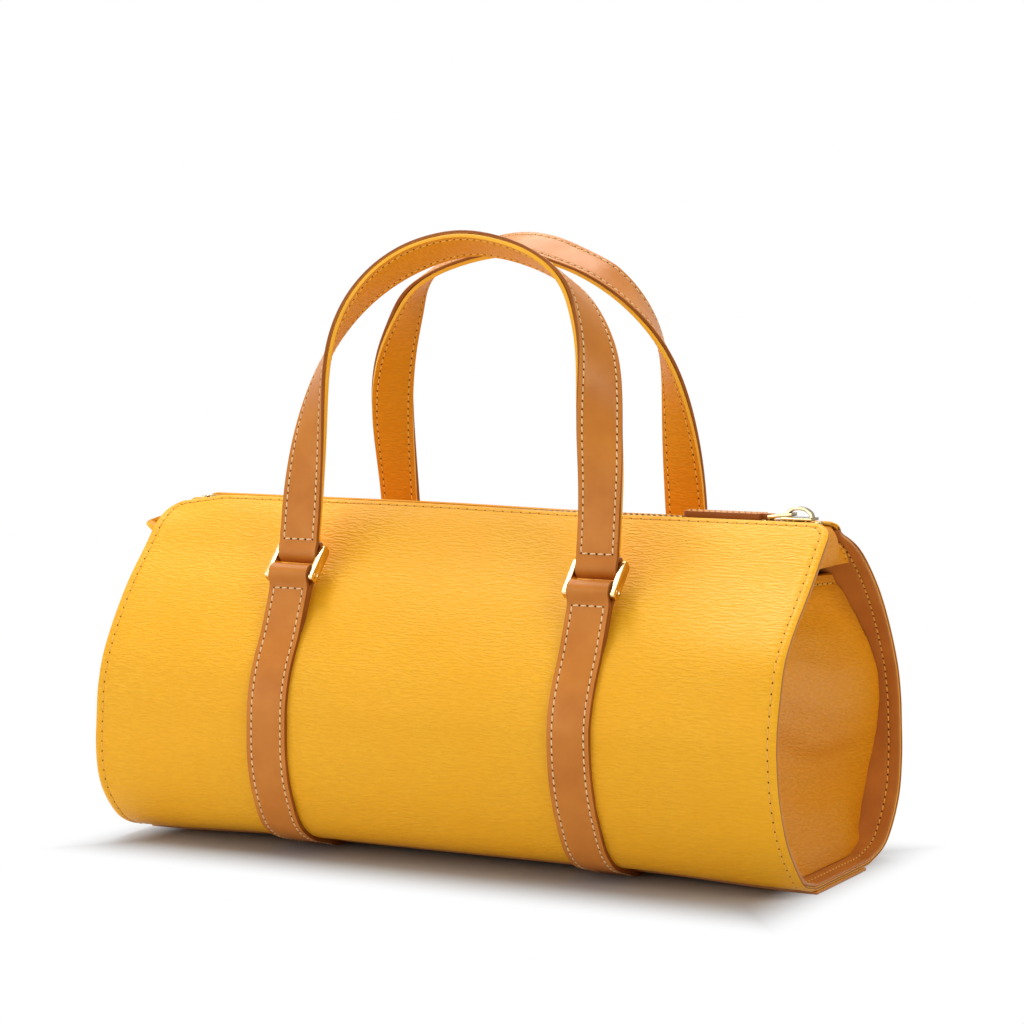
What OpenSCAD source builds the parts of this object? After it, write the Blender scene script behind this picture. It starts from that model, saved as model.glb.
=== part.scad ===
// Small barrel handbag. Two curved leather panels meet at a zip along the top.
// Gussets are set in from both ends, and two twisted handles hang on brass links.
// Millimetres, +Z up, origin on the floor under the middle of the bag.
// +X runs to the end where the closed zip slider sits, and the front faces -Y.

/* [Body] */
// Length of the body from rim to rim
bag_l = 310; // [280:1:360]
// Height of the panel edges along the zip
bag_h = 144; // [135:1:155]
// Width of the body where it is fullest
bag_w = 134; // [126:1:146]
// Distance between the two panel edges along the zip
mouth_w = 20; // [18:1:23]
// Radius of the panel corners at both ends of the zip
corner_r = 9; // [4:1:12]
// Width of the base patch under the bag
base_w = 52; // [40:1:58]

/* [Leather] */
// Thickness of the front and back panels
panel_t = 1.8; // [1.4:0.1:2.2]
// Thickness of the base patch
base_t = 1.4; // [1:0.1:1.8]
// Thickness of the end facings
facing_t = 1.2; // [0.8:0.1:1.6]
// Thickness of the body lining
lining_t = 0.8; // [0.5:0.1:1]
// Thickness of the gussets
gusset_t = 2; // [1.4:0.1:2.6]
// Thickness of the base board
board_t = 2; // [1:0.1:3]
// Width of the base board
board_w = 45; // [36:1:46]

/* [Ends] */
// Depth of the end facings from the rim
facing_d = 26; // [23:1:32]
// How far the gusset seam lies inside the rim
gusset_in = 11; // [8:1:14]
// How far the gusset hem lies inside the rim
gusset_hem_in = 19; // [14:1:20]
// Height of the gusset hem
gusset_h = 118; // [112:1:122]
// How far the lower half of a gusset bulges outwards
gusset_belly = 3; // [0:0.5:5]
// How far the upper half of a gusset is drawn inwards
gusset_dent = 7; // [0:0.5:9]
// Height of the lower edge of the end hoods
hood_h = 122; // [119:1:128]
// How far the end hoods lie inside the rim
hood_in = 4.5; // [3:0.5:6]

/* [Straps and links] */
// Distance between the middles of the two body straps
strap_gap = 138; // [120:1:170]
// Width of the body straps
strap_w = 18.2; // [15:0.2:22]
// Thickness of the body straps
strap_t = 2; // [1.6:0.1:2.4]
// Height on the panel under the lower pin of a link
pin_h = 111.7; // [105:0.1:115]
// Distance of the lower pin from the panel
pin_off = 7.7; // [7.2:0.1:9.5]
// Outer radius of the leather loops on the links
loop_r = 4.4; // [3.8:0.1:4.8]
// Distance between the lower pin and the upper bar of a link
link_l = 11; // [10:0.5:14]
// Lean of the links towards the middle of the bag
link_lean = 42.5; // [35:0.5:50]
// Radius of the link bars and pins
bar_r = 1.9; // [1.5:0.1:2.2]
// Thickness of the link sides
link_t = 2; // [1.5:0.1:2.5]
// Depth of the link sides
link_d = 5; // [4.4:0.2:6]

/* [Handles] */
// Rise of a handle from the link bar to its middle
handle_rise = 129; // [110:1:150]
// Straight length of a handle leg above the link bar
handle_leg = 20; // [15:1:60]
// Lean of the handles towards each other
handle_lean = 8.8; // [7:0.2:12]
// Twist of a handle from its leg to its middle
handle_twist_angle = 107; // [90:1:112]
// Width of the handles
handle_w = 17.6; // [14.4:0.2:21]
// Thickness of the outer handle strap
handle_t = 2; // [1.6:0.1:2.4]
// Thickness of the handle lining
handle_lining_t = 1.4; // [1:0.1:1.8]

/* [Zip] */
// Distance from the hoods to the ends of the zip tapes
zip_end_in = 1.5; // [0.5:0.5:2.5]
// Thickness of the zip tapes
tape_t = 0.6; // [0.4:0.1:0.8]
// Distance between two teeth of a row
tooth_pitch = 2.6; // [2.2:0.1:3.5]
// Length of the slider
slider_l = 13; // [11:0.5:15]
// Distance from the rim to the closed slider's end
slider_in = 12; // [12:0.5:16]
// Length of the pull link
pull_link_l = 8.8; // [8:0.2:11]
// Length of the leather pull tab
pull_tab_l = 37; // [28:1:45]

/* [Hidden] */
$fn = 48;
clear = 0.3;
glue_gap = 0.05;
over = 1;
half_l = bag_l / 2;
wrap_z = strap_t + base_t;
facing_in = panel_t + facing_t;
curve_steps = 5;
// Height above the base and half width of the panels, as shares of their rise and greatest half width
profile_shares = [
    [0, 0], [0, 0.18], [0, 0.36], [0.006, 0.47], [0.04, 0.68], [0.15, 0.89], [0.27, 0.98],
    [0.39, 1], [0.46, 0.99], [0.545, 0.935], [0.65, 0.815], [0.76, 0.65], [0.86, 0.455], [0.95, 0.275]
];

yellow = [0.93, 0.65, 0.2];
tan_leather = [0.78, 0.5, 0.27];
brass = [0.88, 0.72, 0.4];
dark_lining = [0.35, 0.24, 0.16];

// Curves in the end view, as [across, height] pairs

function lerp(a, b, s) = a + (b - a) * s;
function smooth(s) = let(q = min(max(s, 0), 1)) q * q * (3 - 2 * q);
function last(list) = list[len(list) - 1];
function reversed(list) = [for (i = [len(list) - 1:-1:0]) list[i]];
function mirrored(list) = [for (p = reversed(list)) [-p[0], p[1]]];

// A smooth curve through four neighbouring points, between the middle two
function spline_point(a, b, c, d, s) =
    0.5 * (2 * b + (c - a) * s + (2 * a - 5 * b + 4 * c - d) * s * s + (3 * b - 3 * c + d - a) * s * s * s);
function spline(pts) = [
    for (i = [0:len(pts) - 2]) for (k = [0:curve_steps - 1])
        spline_point(pts[max(i - 1, 0)], pts[i], pts[i + 1], pts[min(i + 2, len(pts) - 1)], k / curve_steps),
    last(pts)
];

// The outside of the front panel, from under the middle of the base up to the zip
front_curve = [
    for (p = spline([
        for (s = profile_shares) [-s[1] * bag_w / 2, wrap_z + s[0] * (bag_h - wrap_z)],
        [-mouth_w / 2, bag_h]
    ])) [p[0], max(p[1], wrap_z)]
];
top_start = len(front_curve) - 1 - curve_steps;

// The direction into the bag at point i of a curve
function inward(c, i) =
    let(d = c[min(i + 1, len(c) - 1)] - c[max(i - 1, 0)]) [d[1], -d[0]] / norm(d);
function shifted(c, by) = [for (i = [0:len(c) - 1]) c[i] + by * inward(c, i)];
function part_of(c, from, to) = [for (i = [from:to]) c[i]];
// The front wall below the zip, at a depth under the outside
function wall_at(depth) = part_of(shifted(front_curve, depth), 0, top_start);
// The same from the back wall round the base to the front wall
function wrap_at(depth) =
    let(wall = wall_at(depth)) concat(mirrored(wall), part_of(wall, 1, top_start));

// A layer of leather between two curves
module layer(outer, inner) {
    polygon(concat(outer, reversed(inner)));
}

// Lays a drawing of the end view along X, from x0 over a length
module along_x(x0, length) {
    translate([x0, 0, 0]) rotate([90, 0, 90]) linear_extrude(length) children();
}

// Draws for the back (side = 1) or the front (side = -1) what is drawn for the front
module on_side(side) {
    mirror([0, side > 0 ? 1 : 0, 0]) children();
}

// Draws at the left (end = -1) what is drawn for the right end
module at_end(end) {
    mirror([end < 0 ? 1 : 0, 0, 0]) children();
}

// Body

// What is cut from the upper corners of the panels, seen from the front
module corner_cut(end) {
    at_end(end) translate([half_l - corner_r, 0, bag_h - corner_r]) difference() {
        translate([0, -bag_w, 0]) cube([corner_r + over, 2 * bag_w, corner_r + over]);
        rotate([90, 0, 0]) cylinder(r = corner_r, h = 4 * bag_w, center = true);
    }
}

module panel(side) {
    color(yellow) on_side(side) difference() {
        along_x(-half_l, bag_l) layer(front_curve, shifted(front_curve, panel_t));
        corner_cut(-1);
        corner_cut(1);
    }
}

module base_patch() {
    color(yellow) translate([-half_l, -base_w / 2, strap_t]) cube([bag_l, base_w, base_t]);
}

lining_l = bag_l - 2 * (facing_d + glue_gap);
module body_lining() {
    color(dark_lining) along_x(-lining_l / 2, lining_l)
        layer(wrap_at(panel_t), wrap_at(panel_t + lining_t));
}

module base_board() {
    color(dark_lining) translate([-lining_l / 2, -board_w / 2, wrap_z + panel_t + lining_t])
        cube([lining_l, board_w, board_t]);
}

module end_facing(end) {
    color(tan_leather) difference() {
        at_end(end) along_x(half_l - facing_d, facing_d) layer(wrap_at(panel_t), wrap_at(facing_in));
        corner_cut(end);
    }
}

// Ends

inner_curve = wall_at(facing_in + clear);

// Half the clear width inside the facings at height z
function inner_half(z) =
    let(hit = [for (i = [0:len(inner_curve) - 2])
        if (inner_curve[i][1] <= z && inner_curve[i + 1][1] > z)
            lerp(inner_curve[i][0], inner_curve[i + 1][0],
                (z - inner_curve[i][1]) / (inner_curve[i + 1][1] - inner_curve[i][1]))])
    -last(hit);

gusset_rows = 16;
gusset_columns = 14;
row_power = 1.6;
gusset_z = wrap_z + facing_in + clear + glue_gap;
bend_start_share = 0.5;
belly_share = 0.6;
dent_start_share = 0.42;

// Height of a row of the gusset, closer together near the base
function gusset_row_z(i) = lerp(gusset_z, gusset_h, pow(i / gusset_rows, row_power));
// How far the gusset lies inside the rim, at height share s and side share a from -1 to 1
function gusset_depth(s, a) =
    lerp(gusset_in, gusset_hem_in, smooth((s - bend_start_share) / (1 - bend_start_share)))
    + (1 - a * a) * (gusset_dent * pow(sin(180 * max(s - dent_start_share, 0) / (1 - dent_start_share)), 2)
    - gusset_belly * sin(180 * min(s / belly_share, 1)));
function gusset_point(i, j, t) =
    let(z = gusset_row_z(i), a = 2 * j / gusset_columns - 1, s = (z - gusset_z) / (gusset_h - gusset_z))
    [half_l - gusset_depth(s, a) - t, a * inner_half(z), z];

// A thin sheet of leather over a grid of rows and columns, closed all round
module gusset(end) {
    w = gusset_columns + 1;
    n = w * (gusset_rows + 1);
    pts = concat(
        [for (i = [0:gusset_rows]) for (j = [0:gusset_columns]) gusset_point(i, j, 0)],
        [for (i = [0:gusset_rows]) for (j = [0:gusset_columns]) gusset_point(i, j, gusset_t)]
    );
    cells = [for (i = [0:gusset_rows - 1]) for (j = [0:gusset_columns - 1]) i * w + j];
    left = [for (i = [0:gusset_rows - 1]) [i * w, (i + 1) * w]];
    right = [for (i = [0:gusset_rows - 1]) [(i + 1) * w + w - 1, i * w + w - 1]];
    bottom = [for (j = [0:gusset_columns - 1]) [j + 1, j]];
    top = [for (j = [0:gusset_columns - 1]) [gusset_rows * w + j, gusset_rows * w + j + 1]];
    faces = concat(
        [for (c = cells) [c, c + w + 1, c + 1]],
        [for (c = cells) [c, c + w, c + w + 1]],
        [for (c = cells) [n + c, n + c + 1, n + c + w + 1]],
        [for (c = cells) [n + c, n + c + w + 1, n + c + w]],
        [for (e = concat(left, right, bottom, top)) [e[0], n + e[0], n + e[1]]],
        [for (e = concat(left, right, bottom, top)) [e[0], n + e[1], e[1]]]
    );
    color(yellow) at_end(end) polyhedron(pts, faces);
}

zip_z = last(shifted(front_curve, panel_t))[1];
hood_t = 2;
hood_x = half_l - hood_in - hood_t;
hood_flap_l = 3;
hood_flap_t = 1.4;
hood_flap_w = mouth_w - 2 * panel_t;
zip_half_l = hood_x - zip_end_in;

// The hood is a plate across the end with a flap that laps over the end of the zip
module end_hood(end) {
    plate_z = zip_z - tape_t - panel_t;
    flap_top = zip_z + hood_flap_t;
    color(yellow) at_end(end) {
        along_x(hood_x, hood_t) {
            intersection() {
                polygon(concat(inner_curve, mirrored(inner_curve)));
                translate([-bag_w / 2, hood_h]) square([bag_w, plate_z - hood_h]);
            }
            translate([-hood_flap_w / 2, hood_h]) square([hood_flap_w, flap_top - hood_h]);
        }
        translate([hood_x - hood_flap_l, -hood_flap_w / 2, zip_z])
            cube([hood_flap_l, hood_flap_w, hood_flap_t]);
    }
}

// Zip

tape_edge = 2.2;
tooth_l = 1.3;
tooth_w = 1.7;
tooth_t = 1.8;
blade_t = 0.6;
slider_w = 8;
slider_plate_t = 1.1;

module zip_tape(side) {
    outer = shifted(front_curve, panel_t);
    inner = shifted(front_curve, panel_t + tape_t);
    n = len(front_curve) - 1;
    color(yellow) on_side(side) along_x(-zip_half_l, 2 * zip_half_l) polygon(concat(
        part_of(outer, top_start + 1, n),
        [[-tape_edge, zip_z], [-tape_edge, zip_z - tape_t]],
        reversed(part_of(inner, top_start + 1, n))
    ));
}

stop_l = 1.8;
stop_x = hood_x - hood_flap_l - clear - stop_l;
teeth_half_l = stop_x - clear;
tooth_count = floor(2 * teeth_half_l / tooth_pitch - 1 / 2);
tooth_z = zip_z - (tape_t + tooth_t) / 2;

// One row of teeth, half a pitch ahead of the other row
module zip_teeth(side) {
    first = -teeth_half_l + (side > 0 ? tooth_pitch / 2 : 0);
    color(brass) on_side(side) for (i = [0:tooth_count - 1])
        translate([first + i * tooth_pitch, -tape_edge, tooth_z]) cube([tooth_l, tooth_w, tooth_t]);
}

module zip_end_stops() {
    color(brass) for (end = [-1, 1]) for (side = [-1, 1])
        at_end(end) on_side(side)
            translate([stop_x, -tape_edge, tooth_z]) cube([stop_l, tooth_w, tooth_t]);
}

slider_x = half_l - slider_in - slider_l / 2;
slider_top_z = tooth_z + tooth_t + clear;
bridge_w = 3;
bridge_t = 1.3;
bridge_rise = 4.2;
bridge_a = (slider_l - slider_plate_t) / 2;
bridge_steps = 24;
blade_l = 4;
pull_wire_r = 0.7;
pull_play = 0.35;
hinge_back = 3;
hinge_x = slider_x - hinge_back;
hinge_z = slider_top_z + slider_plate_t + pull_wire_r + pull_play;

function arch(a, b) = [for (i = [0:bridge_steps])
    [a * cos(180 * i / bridge_steps), b * sin(180 * i / bridge_steps)]];

// Two plates joined by a blade between the rows, and an arched bridge for the pull
module zip_slider() {
    color(brass) translate([slider_x, 0, 0]) {
        translate([-slider_l / 2, -slider_w / 2, slider_top_z]) cube([slider_l, slider_w, slider_plate_t]);
        translate([-slider_l / 2, -slider_w / 2, tooth_z - clear - slider_plate_t])
            cube([slider_l, slider_w, slider_plate_t]);
        translate([-blade_l / 2, -blade_t / 2, tooth_z - clear])
            cube([blade_l, blade_t, tooth_t + 2 * clear]);
        translate([0, bridge_w / 2, slider_top_z + slider_plate_t]) rotate([90, 0, 0])
            linear_extrude(bridge_w) polygon(concat(
                arch(bridge_a, bridge_rise),
                reversed(arch(bridge_a - bridge_t, bridge_rise - bridge_t))
            ));
    }
}

pull_arm_t = 1.1;
pull_arm_in = bridge_w / 2 + clear;
pull_end_x = hinge_x - pull_link_l;

// A wire under the bridge, two arms and the bar that the tab is folded round
module zip_pull_link() {
    color(brass) {
        for (x = [hinge_x, pull_end_x]) translate([x, 0, hinge_z]) rotate([90, 0, 0])
            cylinder(r = pull_wire_r, h = 2 * pull_arm_in + pull_arm_t, center = true);
        for (side = [-1, 1]) on_side(side) translate([pull_end_x - pull_wire_r,
            -pull_arm_in - pull_arm_t, hinge_z - pull_wire_r])
            cube([pull_link_l + 2 * pull_wire_r, pull_arm_t, 2 * pull_wire_r]);
    }
}

tab_t = 2.4;
tab_loop_w = 2 * (pull_arm_in - clear / 2);
tab_w = 9;
tab_shoulder = 3;

// Folded leather round the end bar, then a flat tab with a round end
module zip_pull_tab() {
    tab_x = pull_end_x - pull_wire_r - tab_shoulder;
    color(tan_leather) {
        difference() {
            union() {
                translate([pull_end_x, 0, hinge_z]) rotate([90, 0, 0])
                    cylinder(r = tab_t / 2, h = tab_loop_w, center = true);
                translate([tab_x - over, -tab_loop_w / 2, hinge_z - tab_t / 2])
                    cube([pull_end_x - tab_x + over, tab_loop_w, tab_t]);
                translate([tab_x - pull_tab_l + tab_shoulder + tab_w / 2, 0, hinge_z - tab_t / 2]) {
                    cylinder(r = tab_w / 2, h = tab_t);
                    translate([0, -tab_w / 2, 0])
                        cube([pull_tab_l - tab_shoulder - tab_w / 2, tab_w, tab_t]);
                }
            }
            translate([pull_end_x, 0, hinge_z]) rotate([90, 0, 0])
                cylinder(r = pull_wire_r + glue_gap, h = 2 * tab_w, center = true);
        }
    }
}

// Straps and links, all worked out for the front and mirrored for the back

// The point of a curve at height z, and the way out of the bag there
function at_height(c, z) =
    last([for (i = [0:len(c) - 2]) if (c[i][1] <= z && c[i + 1][1] > z)
        lerp(c[i], c[i + 1], (z - c[i][1]) / (c[i + 1][1] - c[i][1]))]);
function outward_at(c, z) =
    last([for (i = [0:len(c) - 2]) if (c[i][1] <= z && c[i + 1][1] > z) -inward(c, i)]);
// Where a line from p touches the circle of radius r round c, on the given side
function tangent(p, c, r, side) =
    let(d = p - c, turn = atan2(d[1], d[0]) + side * acos(r / norm(d)))
    c + r * [cos(turn), sin(turn)];

pin = at_height(front_curve, pin_h) + pin_off * outward_at(front_curve, pin_h);
bar = pin + link_l * [sin(link_lean), cos(link_lean)];
// How far below the pin the strap's outer and inner plies leave the wall
outer_drop = 17;
inner_drop = 13;
// How far from the middle of a leather loop its two plies are sewn together
neck_l = 5.5;
// The flanks of a loop aim at a circle just inside its round end, and so cross its outside
flank_r = loop_r - glue_gap;
link_in = max(strap_w, handle_w) / 2 + clear;
bore_r = bar_r + clear;

// The strap lies on the panels, and under the base patch as far as a little past its edges
patch_lap = 6.5;
wrap_curve = wrap_at(0);
function strap_path(outwards) = [for (i = [0:len(wrap_curve) - 1])
    let(under = abs(wrap_curve[i][0]) < base_w / 2 + patch_lap && wrap_curve[i][1] < wrap_z + base_t)
    wrap_curve[i] - (outwards + (under ? base_t : 0)) * inward(wrap_curve, i)];
function below(list, z) = [for (p = list) if (p[1] < z) p];

module body_strap(end) {
    low_in = below(strap_path(0), pin_h - inner_drop);
    low_out = below(strap_path(strap_t), pin_h - outer_drop);
    down = (last(low_in) + last(low_out)) / 2 - pin;
    neck = pin + neck_l * down / norm(down);
    ply = strap_t * [-down[1], down[0]] / norm(down);
    to_loop = [neck + ply, tangent(neck + ply, pin, flank_r, 1)];
    from_loop = [tangent(neck - ply, pin, flank_r, -1), neck - ply];
    back_pin = [-pin[0], pin[1]];
    color(tan_leather) along_x(end * strap_gap / 2 - strap_w / 2, strap_w) difference() {
        union() {
            polygon(concat(
                [back_pin], mirrored(to_loop), low_in, to_loop, [pin], from_loop,
                reversed(low_out), mirrored(from_loop)
            ));
            translate(pin) circle(r = loop_r);
            translate(back_pin) circle(r = loop_r);
        }
        translate(pin) circle(r = bore_r);
        translate(back_pin) circle(r = bore_r);
    }
}

pin_end_r = 1.2;
// How far the sides of a link reach past the middles of its pin and bar, and the radius of their corners
link_end = 3.1;
link_corner_r = 1.6;

// Two flat sides with rounded corners, joined by the upper bar
module link(side, end) {
    color(brass) on_side(side) {
        for (wall = [-1, 1])
            along_x(end * strap_gap / 2 + wall * (link_in + link_t / 2) - link_t / 2, link_t) difference() {
                translate(pin) rotate(-link_lean) offset(r = link_corner_r)
                    translate([link_corner_r - link_d / 2, link_corner_r - link_end])
                        square([link_d - 2 * link_corner_r, link_l + 2 * (link_end - link_corner_r)]);
                translate(pin) circle(r = pin_end_r + glue_gap);
            }
        along_x(end * strap_gap / 2 - link_in, 2 * link_in) translate(bar) circle(r = bar_r);
    }
}

// A pin with thinner ends that sit in the link's sides
module link_pin(side, end) {
    color(brass) on_side(side) {
        along_x(end * strap_gap / 2 - link_in, 2 * link_in) translate(pin) circle(r = bar_r);
        along_x(end * strap_gap / 2 - link_in - link_t, 2 * (link_in + link_t))
            translate(pin) circle(r = pin_end_r);
    }
}

// Handles, worked out upright with the link bar of the left leg at height zero

arch_a = strap_gap / 2;
arch_b = handle_rise - handle_leg;
arch_power = 1.1;
crown_power = 0.58;
join_h = neck_l;
leg_steps = 3;
arch_steps = 40;
twist_start = 18;
twist_length = 125;

function arch_point(turn) = [
    -arch_a * sign(cos(turn)) * pow(abs(cos(turn)), arch_power),
    handle_leg + arch_b * pow(abs(sin(turn)), crown_power)
];
// The middle line of a handle from the left leg over the top to the right leg
handle_line = concat(
    [for (i = [0:leg_steps - 1]) [-arch_a, lerp(join_h, handle_leg, i / leg_steps)]],
    [for (i = [0:arch_steps]) arch_point(180 * smooth(i / arch_steps))],
    [for (i = [leg_steps - 1:-1:0]) [arch_a, lerp(join_h, handle_leg, i / leg_steps)]]
);
handle_last = len(handle_line) - 1;
// Length of the strap from the bar to each point of the line
handle_way = [for (i = 0, s = join_h; i <= handle_last;
    s = s + (i < handle_last ? norm(handle_line[i + 1] - handle_line[i]) : 0), i = i + 1) s];
handle_whole = last(handle_way) + join_h;

function along_line(i) =
    let(d = handle_line[min(i + 1, handle_last)] - handle_line[max(i - 1, 0)]) d / norm(d);
function twist_at(i) =
    let(s = min(handle_way[i], handle_whole - handle_way[i]))
    handle_twist_angle * smooth((s - twist_start) / twist_length);
// The four corners of the strap at point i, between two depths over its middle line
function handle_ring(i, from, to) =
    let(
        t = along_line(i),
        way = [t[0], 0, t[1]],
        face = cos(twist_at(i)) * [0, -1, 0] + sin(twist_at(i)) * [-t[1], 0, t[0]],
        edge = cross(way, face) * handle_w / 2,
        p = [handle_line[i][0], 0, handle_line[i][1]]
    )
    [p - edge + from * face, p + edge + from * face, p + edge + to * face, p - edge + to * face];

// A strap between two depths, its two broad sides split along the same diagonals
module handle_sweep(from, to) {
    rings = [for (i = [0:handle_last]) handle_ring(i, from, to)];
    pts = [for (r = rings) for (p = r) p];
    cells = [for (i = [0:handle_last - 1]) for (k = [0:3])
        let(a = 4 * i + k, b = 4 * i + (k + 1) % 4) [a, b, b + 4, a + 4, k]];
    faces = concat(
        [[2, 1, 0], [3, 2, 0]],
        [for (c = cells) c[4] == 2 ? [c[0], c[1], c[2]] : [c[0], c[1], c[3]]],
        [for (c = cells) c[4] == 2 ? [c[0], c[2], c[3]] : [c[1], c[2], c[3]]],
        [[4 * handle_last, 4 * handle_last + 1, 4 * handle_last + 2],
            [4 * handle_last, 4 * handle_last + 2, 4 * handle_last + 3]]
    );
    polyhedron(pts, faces);
}

// Sets a handle that is drawn upright on the bars of its links
module hang(side) {
    on_side(side) translate([0, bar[0], bar[1]]) rotate([-handle_lean, 0, 0]) children();
}

module handle_end_loop() {
    out_touch = tangent([-handle_t, join_h], [0, 0], flank_r, 1);
    in_touch = tangent([handle_t, join_h], [0, 0], flank_r, -1);
    difference() {
        union() {
            polygon([[0, 0], out_touch, [-handle_t, join_h], [handle_t, join_h], in_touch]);
            circle(r = loop_r);
        }
        circle(r = bore_r);
    }
}

module handle(side) {
    color(tan_leather) hang(side) {
        handle_sweep(0, handle_t);
        for (end = [-1, 1]) along_x(end * arch_a - handle_w / 2, handle_w) handle_end_loop();
    }
}

module handle_lining(side) {
    color(yellow) hang(side) handle_sweep(-handle_lining_t, -glue_gap);
}

panel(-1);  // front_panel
panel(1);  // back_panel
base_patch();
body_lining();
base_board();
end_facing(-1);  // left_end_facing
end_facing(1);  // right_end_facing
gusset(-1);  // left_gusset
gusset(1);  // right_gusset
end_hood(-1);  // left_end_hood
end_hood(1);  // right_end_hood
zip_tape(-1);  // front_zip_tape
zip_tape(1);  // back_zip_tape
zip_teeth(-1);  // front_zip_teeth
zip_teeth(1);  // back_zip_teeth
zip_end_stops();
zip_slider();
zip_pull_link();
zip_pull_tab();
body_strap(-1);  // left_body_strap
body_strap(1);  // right_body_strap
link(-1, -1);  // front_left_link
link_pin(-1, -1);  // front_left_link_pin
link(-1, 1);  // front_right_link
link_pin(-1, 1);  // front_right_link_pin
link(1, -1);  // back_left_link
link_pin(1, -1);  // back_left_link_pin
link(1, 1);  // back_right_link
link_pin(1, 1);  // back_right_link_pin
handle(-1);  // front_handle
handle_lining(-1);  // front_handle_lining
handle(1);  // back_handle
handle_lining(1);  // back_handle_lining
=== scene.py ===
import bisect
import math
import bpy
from mathutils import Matrix, Vector, noise


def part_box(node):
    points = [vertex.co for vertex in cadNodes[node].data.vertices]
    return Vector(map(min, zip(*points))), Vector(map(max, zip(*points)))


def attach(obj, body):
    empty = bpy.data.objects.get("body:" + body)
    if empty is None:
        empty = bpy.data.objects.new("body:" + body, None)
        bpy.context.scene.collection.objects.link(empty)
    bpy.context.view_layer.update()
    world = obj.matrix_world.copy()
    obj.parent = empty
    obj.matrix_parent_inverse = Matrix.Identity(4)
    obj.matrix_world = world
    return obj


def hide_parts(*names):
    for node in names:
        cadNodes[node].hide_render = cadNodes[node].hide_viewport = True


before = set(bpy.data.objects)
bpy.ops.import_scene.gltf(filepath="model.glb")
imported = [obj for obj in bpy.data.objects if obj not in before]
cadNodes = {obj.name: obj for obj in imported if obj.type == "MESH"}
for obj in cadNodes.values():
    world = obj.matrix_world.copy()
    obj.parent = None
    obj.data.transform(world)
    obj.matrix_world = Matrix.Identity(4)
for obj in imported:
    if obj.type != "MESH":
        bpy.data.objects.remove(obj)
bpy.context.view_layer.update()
mm = 0.001
sides = {-1: "front", 1: "back"}
ends = {-1: "left", 1: "right"}

# camera at the photograph's angle, it looks at a point near the top edge of the bag
cameraSettings = {
    "azimuth": 28.088, "elevation": 4.689, "distance": 1.2, "lens": 101.7, "sensor": 36,
    "target": (0.00776, 0.00066, 0.14164)}


def addCamera(settings):
    azimuth, elevation = math.radians(settings["azimuth"]), math.radians(settings["elevation"])
    level = math.cos(elevation)
    back = Vector((math.sin(azimuth) * level, -math.cos(azimuth) * level, math.sin(elevation)))
    place = Vector(settings["target"]) + back * settings["distance"]
    bpy.ops.object.camera_add(location=place, rotation=(math.pi / 2 - elevation, 0, azimuth))
    camera = bpy.context.object
    camera.data.lens = settings["lens"]
    camera.data.sensor_width = settings["sensor"]
    bpy.context.scene.camera = camera


addCamera(cameraSettings)
print("camera ready")


# a shader group whose sockets are numbers, apart from an input without a value, which is a vector
def newGroup(name, inputs, outputs):
    tree = bpy.data.node_groups.new(name, "ShaderNodeTree")
    for label, value in inputs.items():
        kind = "NodeSocketVector" if value is None else "NodeSocketFloat"
        socket = tree.interface.new_socket(label, in_out="INPUT", socket_type=kind)
        if value is not None:
            socket.default_value = value
    for label in outputs:
        tree.interface.new_socket(label, in_out="OUTPUT", socket_type="NodeSocketFloat")
    return tree, tree.nodes.new("NodeGroupInput").outputs, tree.nodes.new("NodeGroupOutput").inputs


# a shader node; a socket is given by its label, or by i and its number
def addNode(tree, kind, settings=None, **sockets):
    node = tree.nodes.new("ShaderNode" + kind)
    for key, value in (settings or {}).items():
        setattr(node, key, value)
    for key, value in sockets.items():
        socket = node.inputs[int(key[1:]) if key[1:].isdigit() else key.replace("_", " ")]
        if isinstance(value, bpy.types.NodeSocket):
            tree.links.new(value, socket)
        else:
            socket.default_value = value
    return node


def calc(tree, operation, a, b):
    return addNode(tree, "Math", {"operation": operation}, i0=a, i1=b).outputs[0]


def times(tree, a, b):
    return calc(tree, "MULTIPLY", a, b)


# a and b are colours of three numbers, or sockets
def blendColor(tree, factor, a, b):
    a, b = (value if isinstance(value, bpy.types.NodeSocket) else (*value, 1) for value in (a, b))
    return addNode(tree, "Mix", {"data_type": "RGBA"}, i0=factor, i6=a, i7=b).outputs[2]


def span(tree, value, low, high, outLow=0.0, outHigh=1.0, kind="LINEAR"):
    return addNode(tree, "MapRange", {"interpolation_type": kind}, Value=value, From_Min=low,
                   From_Max=high, To_Min=outLow, To_Max=outHigh).outputs[0]


def addNoise(tree, vector, scale, detail=2.0, roughness=0.5, distortion=0.0):
    return addNode(tree, "TexNoise", Vector=vector, Scale=scale, Detail=detail,
                   Roughness=roughness, Distortion=distortion).outputs[0]


# a place in metres, scaled and then stretched
def scaled(tree, vector, scale=1000, stretch=None):
    place = addNode(tree, "VectorMath", {"operation": "SCALE"}, i0=vector, i3=scale).outputs[0]
    if stretch:
        place = addNode(tree, "Mapping", Vector=place, Scale=stretch).outputs[0]
    return place


def putOut(tree, sockets, *values):
    for socket, value in zip(sockets, values):
        tree.links.new(value, socket)


ridgeSettings = {
    "stretch": (0.24, 1, 1), "rows": (2.0, 0.55), "crest": (0.34, 0.64), "pores": (3.2, 2.0, 0.6),
    "poreHeight": 0.15, "patches": (0.03, 2.0, 0.5), "shallow": 0.6}
patchRange = (0.3, 0.7)


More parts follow.
